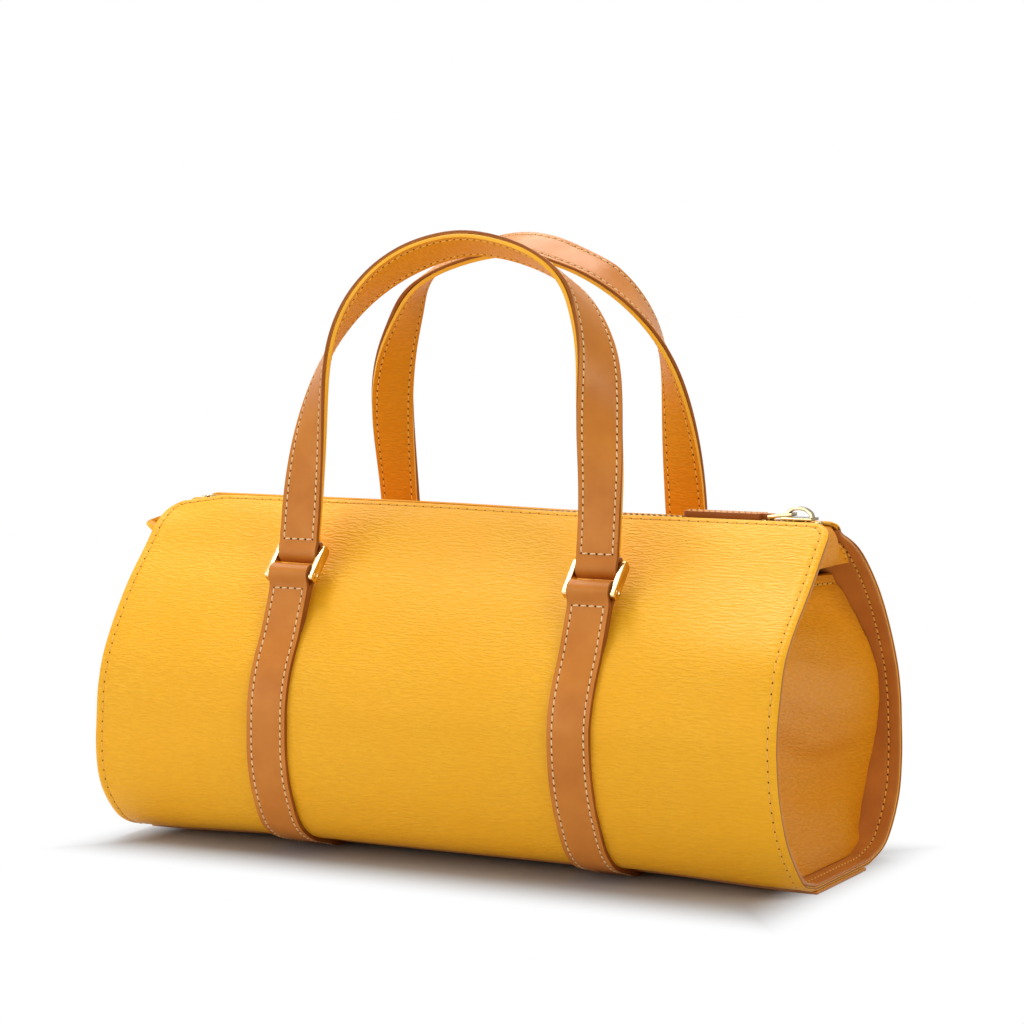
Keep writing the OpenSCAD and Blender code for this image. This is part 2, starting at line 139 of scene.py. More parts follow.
# short wavy ridges along U, a pattern coordinate in metres comes in
def makeRidgeGroup(settings):
    tree, inside, out = newGroup("ridgeGrain", {"Vector": None, "Ridges per mm": 0.75, "Waviness": 0.3},
                                 ("Height", "Valley", "Patch"))
    stretched = scaled(tree, inside[0], stretch=settings["stretch"])
    rows = addNoise(tree, stretched, inside[1], *settings["rows"], inside[2])
    crest = span(tree, rows, *settings["crest"], kind="SMOOTHSTEP")
    place = scaled(tree, inside[0])
    pores = times(tree, addNoise(tree, place, *settings["pores"]), settings["poreHeight"])
    patch = addNoise(tree, place, *settings["patches"])
    depth = span(tree, patch, *patchRange, settings["shallow"])
    height = calc(tree, "ADD", times(tree, crest, depth), pores)
    putOut(tree, out, height, times(tree, calc(tree, "SUBTRACT", 1.0, crest), depth), patch)
    return tree


poreSettings = {
    "pores": (4.5, 3.0, 0.6), "poreHeight": 0.35, "stretch": (0.1, 1, 1), "lines": (0.75, 3.0, 0.7),
    "lineRange": (0.6, 0.7), "where": (0.06, 1.0), "whereRange": (0.52, 0.62), "creaseDepth": 0.6,
    "patches": (0.05, 3.0, 0.55)}


# fine pores and a few soft creases across the strap
def makePoreGroup(settings):
    tree, inside, out = newGroup("smoothGrain", {"Vector": None, "Creases": 1.0},
                                 ("Height", "Crease", "Patch"))
    place = scaled(tree, inside[0])
    pores = addNoise(tree, place, *settings["pores"])
    lines = addNoise(tree, scaled(tree, inside[0], stretch=settings["stretch"]), *settings["lines"])
    where = addNoise(tree, place, *settings["where"])
    lines, where = span(tree, lines, *settings["lineRange"]), span(tree, where, *settings["whereRange"])
    crease = times(tree, times(tree, lines, where), inside[1])
    pores = times(tree, pores, settings["poreHeight"])
    height = calc(tree, "SUBTRACT", pores, times(tree, crease, settings["creaseDepth"]))
    putOut(tree, out, height, crease, addNoise(tree, place, *settings["patches"]))
    return tree


wearSettings = {"noise": (4.0, 0.6), "range": (0.35, 0.7)}


# rubbing that changes slowly over any piece, in object space
def makeWearGroup(settings):
    tree, inside, out = newGroup("handling", {"Scale": 40.0}, ("Rub",))
    place = addNode(tree, "TexCoord").outputs["Object"]
    putOut(tree, out, span(tree, addNoise(tree, place, inside[0], *settings["noise"]), *settings["range"]))
    return tree


ridgeGroup, poreGroup = makeRidgeGroup(ridgeSettings), makePoreGroup(poreSettings)
wearGroup = makeWearGroup(wearSettings)


def newMaterial(name, settings):
    material = bpy.data.materials.new(name)
    material.use_nodes = True
    material.diffuse_color = (*settings["color"], 1)
    tree = material.node_tree
    shader = tree.nodes["Principled BSDF"]
    shader.inputs["Base Color"].default_value = (*settings["color"], 1)
    labels = {"roughness": "Roughness", "metallic": "Metallic", "specular": "Specular IOR Level"}
    for key in settings.keys() & labels.keys():
        shader.inputs[labels[key]].default_value = settings[key]
    return material, tree, shader


def addGrain(tree, group, **sockets):
    uv = addNode(tree, "UVMap", {"uv_map": "UVMap"}).outputs[0]
    return addNode(tree, "Group", {"node_tree": group}, Vector=uv, **sockets).outputs


def addRub(tree, settings):
    rub = addNode(tree, "Group", {"node_tree": wearGroup}, Scale=settings["wearScale"])
    return rub.outputs["Rub"]


# what a finish works out goes into the shader
def feedShader(tree, shader, tone, rough=None, height=None, bump=0.0):
    tree.links.new(tone, shader.inputs["Base Color"])
    if rough is not None:
        tree.links.new(rough, shader.inputs["Roughness"])
    if height is not None:
        node = addNode(tree, "Bump", Strength=1.0, Distance=bump, Height=height)
        tree.links.new(node.outputs[0], shader.inputs["Normal"])


# how much rubbing, valleys and patches change the roughness, and how far they change the colour; grazingShade
# is the facing range over which metal gets its painted shade
shadeSettings = {
    "rubRough": 0.05, "valleyRough": (-0.03, 0.1), "patchRough": 0.04, "wornRough": (-0.05, 0.08),
    "rubPale": 0.35, "creaseShade": 0.5, "grazingShade": (0.2, 0.75), "weave": 0.314, "weaveBend": 0.6}


def ridgeLeather(name, settings):
    material, tree, shader = newMaterial(name, settings)
    grain = addGrain(tree, ridgeGroup, Ridges_per_mm=settings["ridges"], Waviness=settings["waviness"])
    tone = blendColor(tree, span(tree, grain["Patch"], *patchRange), settings["color"], settings["pale"])
    tone = blendColor(tree, times(tree, grain["Valley"], settings["valley"]), tone, settings["dark"])
    change = shadeSettings["rubRough"]
    low, high = (settings["roughness"] + step for step in shadeSettings["valleyRough"])
    rough = calc(tree, "ADD", span(tree, addRub(tree, settings), 0, 1, -change, change),
                 span(tree, grain["Valley"], 0, 1, low, high))
    feedShader(tree, shader, tone, rough, grain["Height"], settings["bump"])
    return material


def smoothLeather(name, settings):
    material, tree, shader = newMaterial(name, settings)
    grain = addGrain(tree, poreGroup, Creases=settings["creases"])
    rub = addRub(tree, settings)
    tone = blendColor(tree, span(tree, grain["Patch"], *patchRange), settings["dark"], settings["color"])
    tone = blendColor(tree, times(tree, rub, shadeSettings["rubPale"]), tone, settings["pale"])
    # creases are painted darker in colour, a painted shade in the dips that the bump already makes
    paintedCreaseShade = times(tree, grain["Crease"], shadeSettings["creaseShade"])
    tone = blendColor(tree, paintedCreaseShade, tone, settings["dark"])
    change, patchChange = shadeSettings["rubRough"], shadeSettings["patchRough"]
    rough = span(tree, grain["Patch"], *patchRange, settings["roughness"] + patchChange,
                 settings["roughness"] - patchChange)
    rough = calc(tree, "ADD", span(tree, rub, 0, 1, change, -change), rough)
    feedShader(tree, shader, tone, rough, grain["Height"], settings["bump"])
    return material


# paint, thread, metal and board
def plainFinish(name, settings):
    material, tree, shader = newMaterial(name, settings)
    rub = addRub(tree, settings)
    tone = blendColor(tree, times(tree, rub, settings["wear"]), settings["color"], settings["worn"])
    if "grazingShade" in settings:  # painted shade: polished metal is painted darker where its face turns away from the camera
        facing = addNode(tree, "LayerWeight", Blend=0.5).outputs["Facing"]
        tone = blendColor(tree, span(tree, facing, *shadeSettings["grazingShade"]), tone, settings["grazingShade"])
    rough = span(tree, rub, 0, 1, *(settings["roughness"] + step for step in shadeSettings["wornRough"]))
    height = None
    if "bump" in settings:
        place = addNode(tree, "TexCoord").outputs["Object"]
        height = addNoise(tree, place, settings["grain"], 3.0)
    feedShader(tree, shader, tone, rough, height, settings.get("bump"))
    return material


# plain weave, threads per mm along both directions of the pattern
def wovenCloth(name, settings):
    material, tree, shader = newMaterial(name, settings)
    uv = addNode(tree, "UVMap", {"uv_map": "UVMap"}).outputs[0]
    place = scaled(tree, uv, 1000 * settings["threads"])
    warp, weft = (addNode(tree, "TexWave", {"bands_direction": axis}, Vector=place,
                          Scale=shadeSettings["weave"], Distortion=shadeSettings["weaveBend"]).outputs["Fac"]
                  for axis in ("X", "Y"))
    check = addNode(tree, "TexChecker", Vector=place, Scale=1.0).outputs["Fac"]
    height = addNode(tree, "Mix", i0=check, i2=warp, i3=weft).outputs[0]
    tone = blendColor(tree, height, settings["dark"], settings["color"])
    feedShader(tree, shader, tone, height=height, bump=settings["bump"])
    return material


yellowLeather = ridgeLeather("yellowLeather", {
    "color": (0.88, 0.415, 0.01), "dark": (0.78, 0.325, 0.004), "pale": (0.9, 0.45, 0.016), "valley": 0.35,
    "roughness": 0.42, "specular": 0.2, "ridges": 1.1, "waviness": 0.25, "bump": 0.00018,
    "wearScale": 18.0})
# the same leather where it faces the tan bands or lines a strap, painted darker and more orange as painted
# shade
gussetLeather = ridgeLeather("gussetLeather", {
    "color": (0.74, 0.265, 0.006), "dark": (0.6, 0.19, 0.003), "pale": (0.78, 0.3, 0.01), "valley": 0.35,
    "roughness": 0.45, "specular": 0.12, "ridges": 1.15, "waviness": 0.25, "bump": 0.00016,
    "wearScale": 18.0})
tanLeather = smoothLeather("tanLeather", {
    "color": (0.59, 0.205, 0.026), "dark": (0.48, 0.145, 0.015), "pale": (0.68, 0.265, 0.045),
    "roughness": 0.38, "specular": 0.2, "creases": 1.0, "bump": 0.00008, "wearScale": 30.0})
facingLeather = smoothLeather("facingLeather", {
    "color": (0.58, 0.21, 0.033), "dark": (0.48, 0.155, 0.022), "pale": (0.66, 0.27, 0.05),
    "roughness": 0.5, "specular": 0.3, "creases": 0.3, "bump": 0.00006, "wearScale": 30.0})
edgePaint = plainFinish("edgePaint", {
    "color": (0.26, 0.075, 0.012), "worn": (0.38, 0.12, 0.022), "wear": 0.6, "wearScale": 60.0,
    "roughness": 0.4, "specular": 0.15, "bump": 0.00004, "grain": 900.0})
tanEdge = plainFinish("tanEdge", {
    "color": (0.6, 0.23, 0.05), "worn": (0.46, 0.15, 0.025), "wear": 0.6, "wearScale": 80.0,
    "roughness": 0.5, "bump": 0.00005, "grain": 1200.0})
panelEdge = plainFinish("panelEdge", {
    "color": (0.38, 0.13, 0.02), "worn": (0.5, 0.2, 0.035), "wear": 0.6, "wearScale": 60.0,
    "roughness": 0.45, "specular": 0.15})
yellowEdge = plainFinish("yellowEdge", {
    "color": (0.92, 0.45, 0.02), "worn": (0.8, 0.34, 0.01), "wear": 0.5, "wearScale": 60.0,
    "roughness": 0.4, "specular": 0.3, "bump": 0.00005, "grain": 1200.0})
threadFinish = {
    "wear": 0.5, "wearScale": 90.0, "roughness": 0.7, "specular": 0.1, "bump": 0.00006, "grain": 3000.0}
creamThread = plainFinish("creamThread", {
    **threadFinish, "color": (0.86, 0.62, 0.34), "worn": (0.74, 0.48, 0.22)})
goldThread = plainFinish("goldThread", {
    **threadFinish, "color": (0.88, 0.5, 0.1), "worn": (0.76, 0.36, 0.05)})
# near black: a painted shade for the hollow of each needle hole
needleHoleShade = plainFinish("needleHoleShade", {
    "color": (0.06, 0.022, 0.006), "worn": (0.1, 0.04, 0.012), "wear": 0.5, "wearScale": 90.0,
    "roughness": 0.9, "specular": 0.05})
# grazingShade is the colour painted on metal where its face turns away from the camera, a painted shade
metalFinish = {"metallic": 1.0, "bump": 0.00001, "grain": 1800.0}
goldMetal = plainFinish("goldMetal", {
    **metalFinish, "color": (0.93, 0.76, 0.42), "worn": (0.86, 0.62, 0.26), "grazingShade": (0.5, 0.27, 0.06),
    "wear": 0.5, "wearScale": 120.0, "roughness": 0.16})
zipMetal = plainFinish("zipMetal", {
    **metalFinish, "color": (0.74, 0.62, 0.38), "worn": (0.5, 0.37, 0.17), "grazingShade": (0.14, 0.09, 0.03),
    "wear": 0.7, "wearScale": 260.0, "roughness": 0.2})
teethMetal = plainFinish("teethMetal", {
    **metalFinish, "color": (0.5, 0.33, 0.12), "worn": (0.36, 0.22, 0.07), "grazingShade": (0.2, 0.12, 0.03),
    "wear": 0.7, "wearScale": 260.0, "roughness": 0.35})
zipCloth = wovenCloth("zipCloth", {
    "color": (0.8, 0.45, 0.06), "dark": (0.55, 0.28, 0.03), "threads": 2.4, "roughness": 0.85,
    "bump": 0.00008})
liningCloth = wovenCloth("liningCloth", {
    "color": (0.14, 0.085, 0.05), "dark": (0.07, 0.04, 0.022), "threads": 2.0, "roughness": 0.9,
    "bump": 0.00006})
boardFinish = plainFinish("boardFinish", {
    "color": (0.2, 0.13, 0.08), "worn": (0.26, 0.18, 0.11), "wear": 0.5, "wearScale": 60.0,
    "roughness": 0.85, "bump": 0.00008, "grain": 700.0})
print("materials ready")


def smooth(share):
    share = min(max(share, 0.0), 1.0)
    return share * share * (3 - 2 * share)


def halfSmooth(share):
    return 0.5 * smooth(share) + 0.5 * share


# rises smoothly from 0 at start to 1 over a way from there
def ramp(value, start, over):
    return smooth((value - start) / over)


# 1 at the centre, near 0 from two widths off
def bell(value, centre, width):
    return math.exp(-((value - centre) / width) ** 2)


# 1 at an edge and 0 from the width on, as leather that turns in there
def turnIn(distance, width):
    return max(0.0, 1 - distance / width) ** 2


def mix(a, b, share):
    return a + (b - a) * share


def selectOnly(piece):
    bpy.ops.object.select_all(action="DESELECT")
    piece.select_set(True)
    bpy.context.view_layer.objects.active = piece


def addStart(operator, name, **settings):
    bpy.ops.object.select_all(action="DESELECT")
    operator(**settings)
    piece = bpy.context.object
    piece.name = piece.data.name = name
    bpy.ops.object.transform_apply(location=True, rotation=True, scale=True)
    return piece


def startEdit(action="SELECT"):
    bpy.ops.object.mode_set(mode="EDIT")
    bpy.ops.mesh.select_all(action=action)


# edit mode with the faces selected that look along a direction
def editFaces(piece, direction, nearly=0.9):
    startEdit("DESELECT")
    bpy.ops.object.mode_set(mode="OBJECT")
    for face in piece.data.polygons:
        face.select = face.normal.dot(Vector(direction)) > nearly
    bpy.ops.object.mode_set(mode="EDIT")


def extrude(move, scale, **settings):
    bpy.ops.mesh.extrude_region_move(TRANSFORM_OT_translate={"value": move})
    bpy.ops.transform.resize(value=scale, **settings)


def closeShell():
    bpy.ops.mesh.select_all(action="SELECT")
    bpy.ops.mesh.normals_make_consistent(inside=False)
    bpy.ops.object.mode_set(mode="OBJECT")


def applyModifier(piece, kind, **settings):
    selectOnly(piece)
    modifier = piece.modifiers.new(kind.title(), kind)
    for key, value in settings.items():
        setattr(modifier, key, value)
    bpy.ops.object.modifier_apply(modifier=modifier.name)


def roundEdges(piece, width, segments, angle):
    applyModifier(piece, "BEVEL", width=width * mm, segments=segments, limit_method="ANGLE",
                  angle_limit=math.radians(angle))


# edges are rounded where faces turn by more than sheetAngle or solidAngle, and shaded smooth where they
# turn by less than smoothAngle
edgeSettings = {
    "segments": 2, "sheetAngle": 50, "solidAngle": 40, "smoothAngle": 38, "weld": 0.002, "flatAngle": 1}


def smoothShade(piece, angle=edgeSettings["smoothAngle"]):
    selectOnly(piece)
    bpy.ops.object.shade_smooth_by_angle(angle=math.radians(angle))


# positions from low to high, coarse, or fine in a zone at both ends and coarse between
def stations(low, high, coarse, fine=None, zone=0.0):
    if not zone:
        count = max(1, round(abs(high - low) / coarse))
        return [mix(low, high, i / count) for i in range(count + 1)]
    edge = stations(0, zone, fine)
    middle = stations(low + zone, high - zone, coarse)
    return [low + d for d in edge] + middle[1:-1] + [high - d for d in reversed(edge)]


# the distance of each point of a line from its start
def lengthsOf(points, start=0.0):
    lengths = [start]
    for a, b in zip(points, points[1:]):
        lengths.append(lengths[-1] + (b - a).length)
    return lengths


# the number of the part that holds a distance along the line, and the share of that part
def partAt(lengths, distance):
    distance = min(max(distance, 0.0), lengths[-1])
    i = min(max(bisect.bisect_right(lengths, distance) - 1, 0), len(lengths) - 2)
    return i, (distance - lengths[i]) / max(lengths[i + 1] - lengths[i], 1e-9)


# from the point before to the point after
def stepAt(points, i):
    return points[min(i + 1, len(points) - 1)] - points[max(i - 1, 0)]


# points at even distances along a line
def evenly(line, spacing):
    lengths = lengthsOf(line)
    count = round(lengths[-1] / spacing)
    points = []
    for k in range(count + 1):
        i, share = partAt(lengths, lengths[-1] * k / count)
        points.append(line[i].lerp(line[i + 1], share))
    return points


# a line whose corners are eased a little, its ends stay
def eased(points, times=3):
    for _ in range(times):
        inner = [(a + 2 * b + c) / 4 for a, b, c in zip(points, points[1:], points[2:])]
        points = [points[0]] + inner + [points[-1]]
    return points


def tangentPoint(p, centre, radius, side):
    d = p - centre
    turn = math.atan2(d.y, d.x) + side * math.acos(radius / d.length)
    return centre + radius * Vector((math.cos(turn), math.sin(turn)))


# a line from start to the circle, round it and on to end; turn is 1 where it runs counterclockwise
def loopLine(start, end, centre, radius, turn, step=0.16, parts=4):
    first, last = tangentPoint(start, centre, radius, turn), tangentPoint(end, centre, radius, -turn)
    a0, a1 = (math.atan2(p.y - centre.y, p.x - centre.x) for p in (first, last))
    while turn * a1 < turn * a0:
        a1 += turn * 2 * math.pi
    arc = [centre + radius * Vector((math.cos(t), math.sin(t))) for t in stations(a0, a1, step)]
    ways = ((start, first), (last, end))
    lead, tail = ([a.lerp(b, k / parts) for k in range(parts + 1)] for a, b in ways)
    return lead[:-1] + arc + tail[1:]


def finishPiece(piece, body, slot, *nodeNames):
    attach(piece, body)
    if nodeNames:
        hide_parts(*nodeNames)
    return piece


# a leather sheet: a grid laid on place(u, v), thickened away from the side that shows; where v counts points
# of a line, lengths gives their distance along it, and thinning the share of the thickness there
def addSheet(name, us, vs, place, facing, settings, lengths=None, thinning=None):
    settings = {**edgeSettings, **settings}
    columns, rows = len(us) - 1, len(vs) - 1
    piece = addStart(bpy.ops.mesh.primitive_grid_add, name, size=2, x_subdivisions=columns,
                     y_subdivisions=rows)
    group = piece.vertex_groups.new(name="thinning") if thinning else None
    where = []
    for vertex in piece.data.vertices:
        u = us[round((vertex.co.x + 1) / 2 * columns)]
        v = vs[round((vertex.co.y + 1) / 2 * rows)]
        where.append((u, lengths[v] if lengths else v))
        vertex.co = place(u, v)
        if thinning:
            group.add([vertex.index], thinning(v), "REPLACE")
    layer = piece.data.uv_layers[0]
    layer.name = "UVMap"
    for loop in piece.data.loops:
        u, v = where[loop.vertex_index]
        layer.data[loop.index].uv = (u * mm, v * mm)
    middle = piece.data.polygons[(rows // 2) * columns + columns // 2]
    if middle.normal.dot(Vector(facing)) < 0:
        piece.data.flip_normals()
    for material in settings["materials"]:
        piece.data.materials.append(material)
    applyModifier(piece, "SOLIDIFY", thickness=settings["thickness"] * mm, offset=-1, use_even_offset=True,
                  vertex_group="thinning" if thinning else "",
                  material_offset_rim=1 if len(settings["materials"]) > 1 else 0)
    if "round" in settings:
        roundEdges(piece, settings["round"], settings["segments"], settings["sheetAngle"])
    smoothShade(piece, settings["smoothAngle"])
    return piece


# the grain follows rule(point) where the sheet's own rows and columns bend too much
def layGrain(piece, rule):
    layer = piece.data.uv_layers[0]
    for loop in piece.data.loops:
        layer.data[loop.index].uv = rule(piece.data.vertices[loop.vertex_index].co)


# a copy of a CAD solid with clean faces and rounded edges
def refineNode(nodeName, name, settings, body, slot):
    settings = {**edgeSettings, **settings}
    piece = bpy.data.objects.new(name, cadNodes[nodeName].data.copy())
    bpy.context.scene.collection.objects.link(piece)
    piece.data.name = name
    piece.data.materials.clear()
    for material in settings["materials"]:
        piece.data.materials.append(material)
    selectOnly(piece)
    startEdit()
    bpy.ops.mesh.remove_doubles(threshold=settings["weld"] * mm)
    bpy.ops.mesh.dissolve_limited(angle_limit=math.radians(settings["flatAngle"]))
    bpy.ops.object.mode_set(mode="OBJECT")
    roundEdges(piece, settings["round"], settings["segments"], settings["solidAngle"])
    smoothShade(piece)
    if not piece.data.uv_layers:
        piece.data.uv_layers.new(name="UVMap")
    return finishPiece(piece, body, slot, nodeName)


# copies of one small template along the given matrices, joined to one piece
def stamp(name, template, matrices, material, angle=60):
    copies = []
    for matrix in matrices:
        mesh = template.data.copy()
        mesh.transform(matrix)
        copies.append(bpy.data.objects.new(name, mesh))
        bpy.context.scene.collection.objects.link(copies[-1])
    selectOnly(copies[0])
    for copy in copies:
        copy.select_set(True)
    bpy.ops.object.join()
    piece = bpy.context.object
    piece.name = piece.data.name = name
    piece.data.materials.clear()
    piece.data.materials.append(material)
    smoothShade(piece, angle)
    return piece


# rings are (place along the stitch, radius, height) of its unit form
threadSettings = {
    "pitch": 3.15, "length": 2.45, "width": 0.66, "height": 0.56, "rise": 0.08, "slant": 0.09,
    "hole": 0.5, "holeDepth": 0.1, "holeSunk": 0.03, "holeTaper": 0.7, "vertices": 8, "probe": 0.2,
    "rings": [(-0.5, 0.3, -0.5), (-0.4, 0.8, -0.1), (-0.15, 1, 0.1), (0.15, 1, 0.1), (0.4, 0.8, -0.1),
              (0.5, 0.3, -0.5)]}
# panel stitches are longer than those of the straps, and the tab's are finer
panelThread = {**threadSettings, "pitch": 4.2, "length": 3.4}
tabThread = {**threadSettings, "pitch": 2.6, "length": 2.0, "width": 0.5, "height": 0.36, "rise": 0.0}


# one stitch of unit length along X whose ends dive into the leather, and one flat needle hole that is
# coloured near black as a painted shade
def makeThreadTemplates(settings):
    x, radius, z = settings["rings"][0]
    form = {"vertices": settings["vertices"], "fill_type": "NGON"}
    thread = addStart(bpy.ops.mesh.primitive_circle_add, "threadTemplate", radius=0.5 * radius,
                      rotation=(0, math.pi / 2, 0), location=(x, 0, z), **form)
    startEdit()
    for (x0, r0, z0), (x1, r1, z1) in zip(settings["rings"], settings["rings"][1:]):
        extrude((x1 - x0, 0, z1 - z0), (1, r1 / r0, r1 / r0), center_override=(x1, 0, z1))
    closeShell()
    hole = addStart(bpy.ops.mesh.primitive_circle_add, "holeTemplate", radius=1, **form)
    startEdit()
    extrude((0, 0, 1), (settings["holeTaper"], settings["holeTaper"], 1))
    closeShell()
    return thread, hole


threadTemplate, holeTemplate = makeThreadTemplates(threadSettings)


# the point and normal of a run at a distance along it
def runAt(run, lengths, distance):
    i, share = partAt(lengths, distance)
    return run[i][0].lerp(run[i + 1][0], share), run[i][1].lerp(run[i + 1][1], share).normalized()


# a matrix whose columns are three directions in mm and a place in metres
def frameMatrix(along, side, normal, place):
    matrix = Matrix((along, side, normal)).transposed().to_4x4() @ Matrix.Scale(mm, 4)
    matrix.translation = place
    return matrix


# runs are lists of (point, normal) in metres, evenly stitched from end to end
def addStitches(name, runs, body, material, settings=threadSettings):
    threads, holes = [], []
    for run in runs:
        lengths = lengthsOf([point for point, _ in run])
        pitch = settings["pitch"] * mm
        count = max(1, round(lengths[-1] / pitch))
        step = lengths[-1] / count
        for k in range(count):
            a, b = runAt(run, lengths, k * step)[0], runAt(run, lengths, (k + 1) * step)[0]
            centre, normal = runAt(run, lengths, (k + 0.5) * step)
            along = (b - a).normalized()
            along = (along + settings["slant"] * normal.cross(along)).normalized()
            side = normal.cross(along).normalized()
            size = settings["length"] * min(1.0, step / pitch)
            threads.append(frameMatrix(along * size, side * settings["width"], normal * settings["height"],
                                       centre + normal * settings["rise"] * mm))
        for k in range(count + 1):
            a, normal = runAt(run, lengths, k * step)
            probe = settings["probe"] * mm
            after, before = (runAt(run, lengths, k * step + way)[0] for way in (probe, -probe))
            along = (after - before).normalized()
            side = normal.cross(along).normalized()
            holes.append(frameMatrix(along * settings["hole"], side * settings["hole"],
                                     normal * settings["holeDepth"], a - normal * settings["holeSunk"] * mm))
    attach(stamp(name, threadTemplate, threads, material), body)
    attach(stamp(name + "Holes", holeTemplate, holes, needleHoleShade), body)


# the outward normal of place(u, v), on the side that facing gives
def normalAt(place, u, v, facing, step=0.15):
    across = place(u + step, v) - place(u - step, v)
    along = place(u, v + step) - place(u, v - step)
    normal = across.cross(along).normalized()
    return normal if normal.dot(facing) > 0 else -normal


# the profile is (height, half width) as shares of the whole, from the base up to the zip's mouth
bodyShape = {
    "halfLength": 155, "height": 144, "halfWidth": 67, "mouth": 10, "base": 3.4, "corner": 9.5, "steps": 12,
    "profile": [(0, 0), (0, 0.18), (0, 0.36), (0.006, 0.47), (0.04, 0.68), (0.15, 0.89), (0.27, 0.98),
                (0.39, 1), (0.46, 0.99), (0.545, 0.935), (0.65, 0.815), (0.76, 0.65), (0.86, 0.455),
                (0.95, 0.275)]}


# the front wall seen from the end, (y, z) in mm from under the base up to the zip, with lengths and normals
# that point into the bag
def makeWall(shape):
    rise = shape["height"] - shape["base"]
    knots = [Vector((-w * shape["halfWidth"], shape["base"] + h * rise)) for h, w in shape["profile"]]
    knots.append(Vector((-shape["mouth"], shape["height"])))
    points = []
    for i in range(len(knots) - 1):
        a, b, c, d = (knots[min(max(k, 0), len(knots) - 1)] for k in (i - 1, i, i + 1, i + 2))
        for s in (k / shape["steps"] for k in range(shape["steps"])):
            p = 2 * b + (c - a) * s + (2 * a - 5 * b + 4 * c - d) * s * s + (3 * b - 3 * c + d - a) * s ** 3
            points.append(Vector((0.5 * p.x, max(0.5 * p.y, shape["base"]))))
    points.append(knots[-1])
    steps = [stepAt(points, i) for i in range(len(points))]
    return points, lengthsOf(points), [Vector((d.y, -d.x)).normalized() for d in steps]


wallPoints, wallLengths, wallNormals = makeWall(bodyShape)
wallLength = wallLengths[-1]


def wallAt(s, depth=0.0):
    i, share = partAt(wallLengths, s)
    return wallPoints[i].lerp(wallPoints[i + 1], share) + depth * wallNormals[i].lerp(
        wallNormals[i + 1], share).normalized()


# the wall set in by a depth, the number of its part that passes height z, and the share of that part
def wallPass(z, depth=0.0):
    line = [p + depth * n for p, n in zip(wallPoints, wallNormals)]
    i = max(i for i in range(len(line) - 1) if line[i].y <= z < line[i + 1].y)
    return line, i, (z - line[i].y) / (line[i + 1].y - line[i].y)


# length along the wall at height z, above the base
def wallLengthAt(z):
    _, i, share = wallPass(z)
    return mix(wallLengths[i], wallLengths[i + 1], share)


# half the width inside the facings at height z
def innerHalf(z, depth):
    line, i, share = wallPass(z, depth)
    return -mix(line[i].x, line[i + 1].x, share)


# each effect is its amount and the (start, over) of the ramps that fade it in; the bulge's and the belly's
# heights are (centre, width), the foot of the twist is its share there and its height, and the corner's
# height is where its fade downwards starts and how slow it is
settleSettings = {
    "drop": (1.9, (84, 64), (-83, 80)), "backEdge": (0.9, (130, 12), (3, 6)),
    "leftCorner": (3.2, (123, 27), (129, 12), (4.5, 5)), "leftRise": (1.3, (-60, 110), (118, 20), (4.5, 4)),
    "uneven": (0.55, (-112, 30), (6, 20)), "unevenScale": (0.013, 0.02, 0.02), "unevenAt": (0, 3.1, 0),
    "belly": (2.6, (-150, 60), (20, 25)), "bellyHeight": (12, 9),
    "twist": (6.0, (-72, 60)), "twistFoot": (0.35, 12),
    "bulge": (4.6, (0.45, 0.55), (0, 30)), "bulgeHeight": (97, 15),
    "cornerIn": (7, (6, 10), (105, 45)), "cornerHeight": (137.5, 6)}


def settled(effect, *values):
    amount, *ramps = settleSettings[effect]
    for value, (start, over) in zip(values, ramps):
        amount *= ramp(value, start, over)
    return amount


# the soft body settles: its ends rest on the floor between the straps and the rims, its lower part is turned
# a little against the zip and full between the straps, the front bulges at the right rim, the upper corners
# of the back are drawn in, the top rises a little towards the left, the front left corner and the back edge
# hang a little, and the leather isn't quite even
def settle(x, y, z):
    settings = settleSettings
    along = x / bodyShape["halfLength"]
    drop = settled("drop", abs(x), -z) + settled("leftCorner", -x, z, -y)
    drop += settled("backEdge", z, y) - settled("leftRise", -x, z, abs(y))
    place = [a * b + c for a, b, c in zip((x, y, z), settings["unevenScale"], settings["unevenAt"])]
    uneven = settled("uneven", -z, z) * noise.noise(Vector(place))
    uneven += settled("belly", -abs(x), abs(y)) * bell(z, *settings["bellyHeight"])
    foot, footHeight = settings["twistFoot"]
    shift = along * settled("twist", -z) * mix(foot, 1, smooth(z / footHeight))
    shift -= settled("bulge", along, -y) * bell(z, *settings["bulgeHeight"])
    cornerFrom, cornerOver = settings["cornerHeight"]
    drawn = settled("cornerIn", y, abs(x)) * min(1.0, math.exp((z - cornerFrom) / cornerOver))
    out = math.copysign(uneven, y) if abs(y) > 1 else 0
    return Vector((x - math.copysign(drawn, x), y + shift + out, z - drop)) * mm


# side is -1 for the front wall and 1 for the back wall
def bodyPoint(x, s, depth, side):
    p = wallAt(s, depth)
    return settle(x, p.x if side < 0 else -p.x, p.y)


seamSettings = {"rim": 3.4, "top": 2.5, "corner": 6.5, "groove": 0.3, "grooveWidth": 0.75}


# how far from the panel's seam a point lies, from its distance to the rim and to the zip edge
def seamDistance(a, b):
    rim, top, corner = seamSettings["rim"], seamSettings["top"], seamSettings["corner"]
    da, db = a - rim - corner, b - top - corner
    if da < 0 and db < 0:
        return abs(math.hypot(da, db) - corner)
    return min(abs(a - rim), abs(b - top))


# half the length of a panel at a distance b from its zip edge, along the wall
def panelHalf(b):
    r = bodyShape["corner"]
    cut = r - math.sqrt(max(r * r - (r - b) ** 2, 0)) if b < r else 0
    return bodyShape["halfLength"] - cut


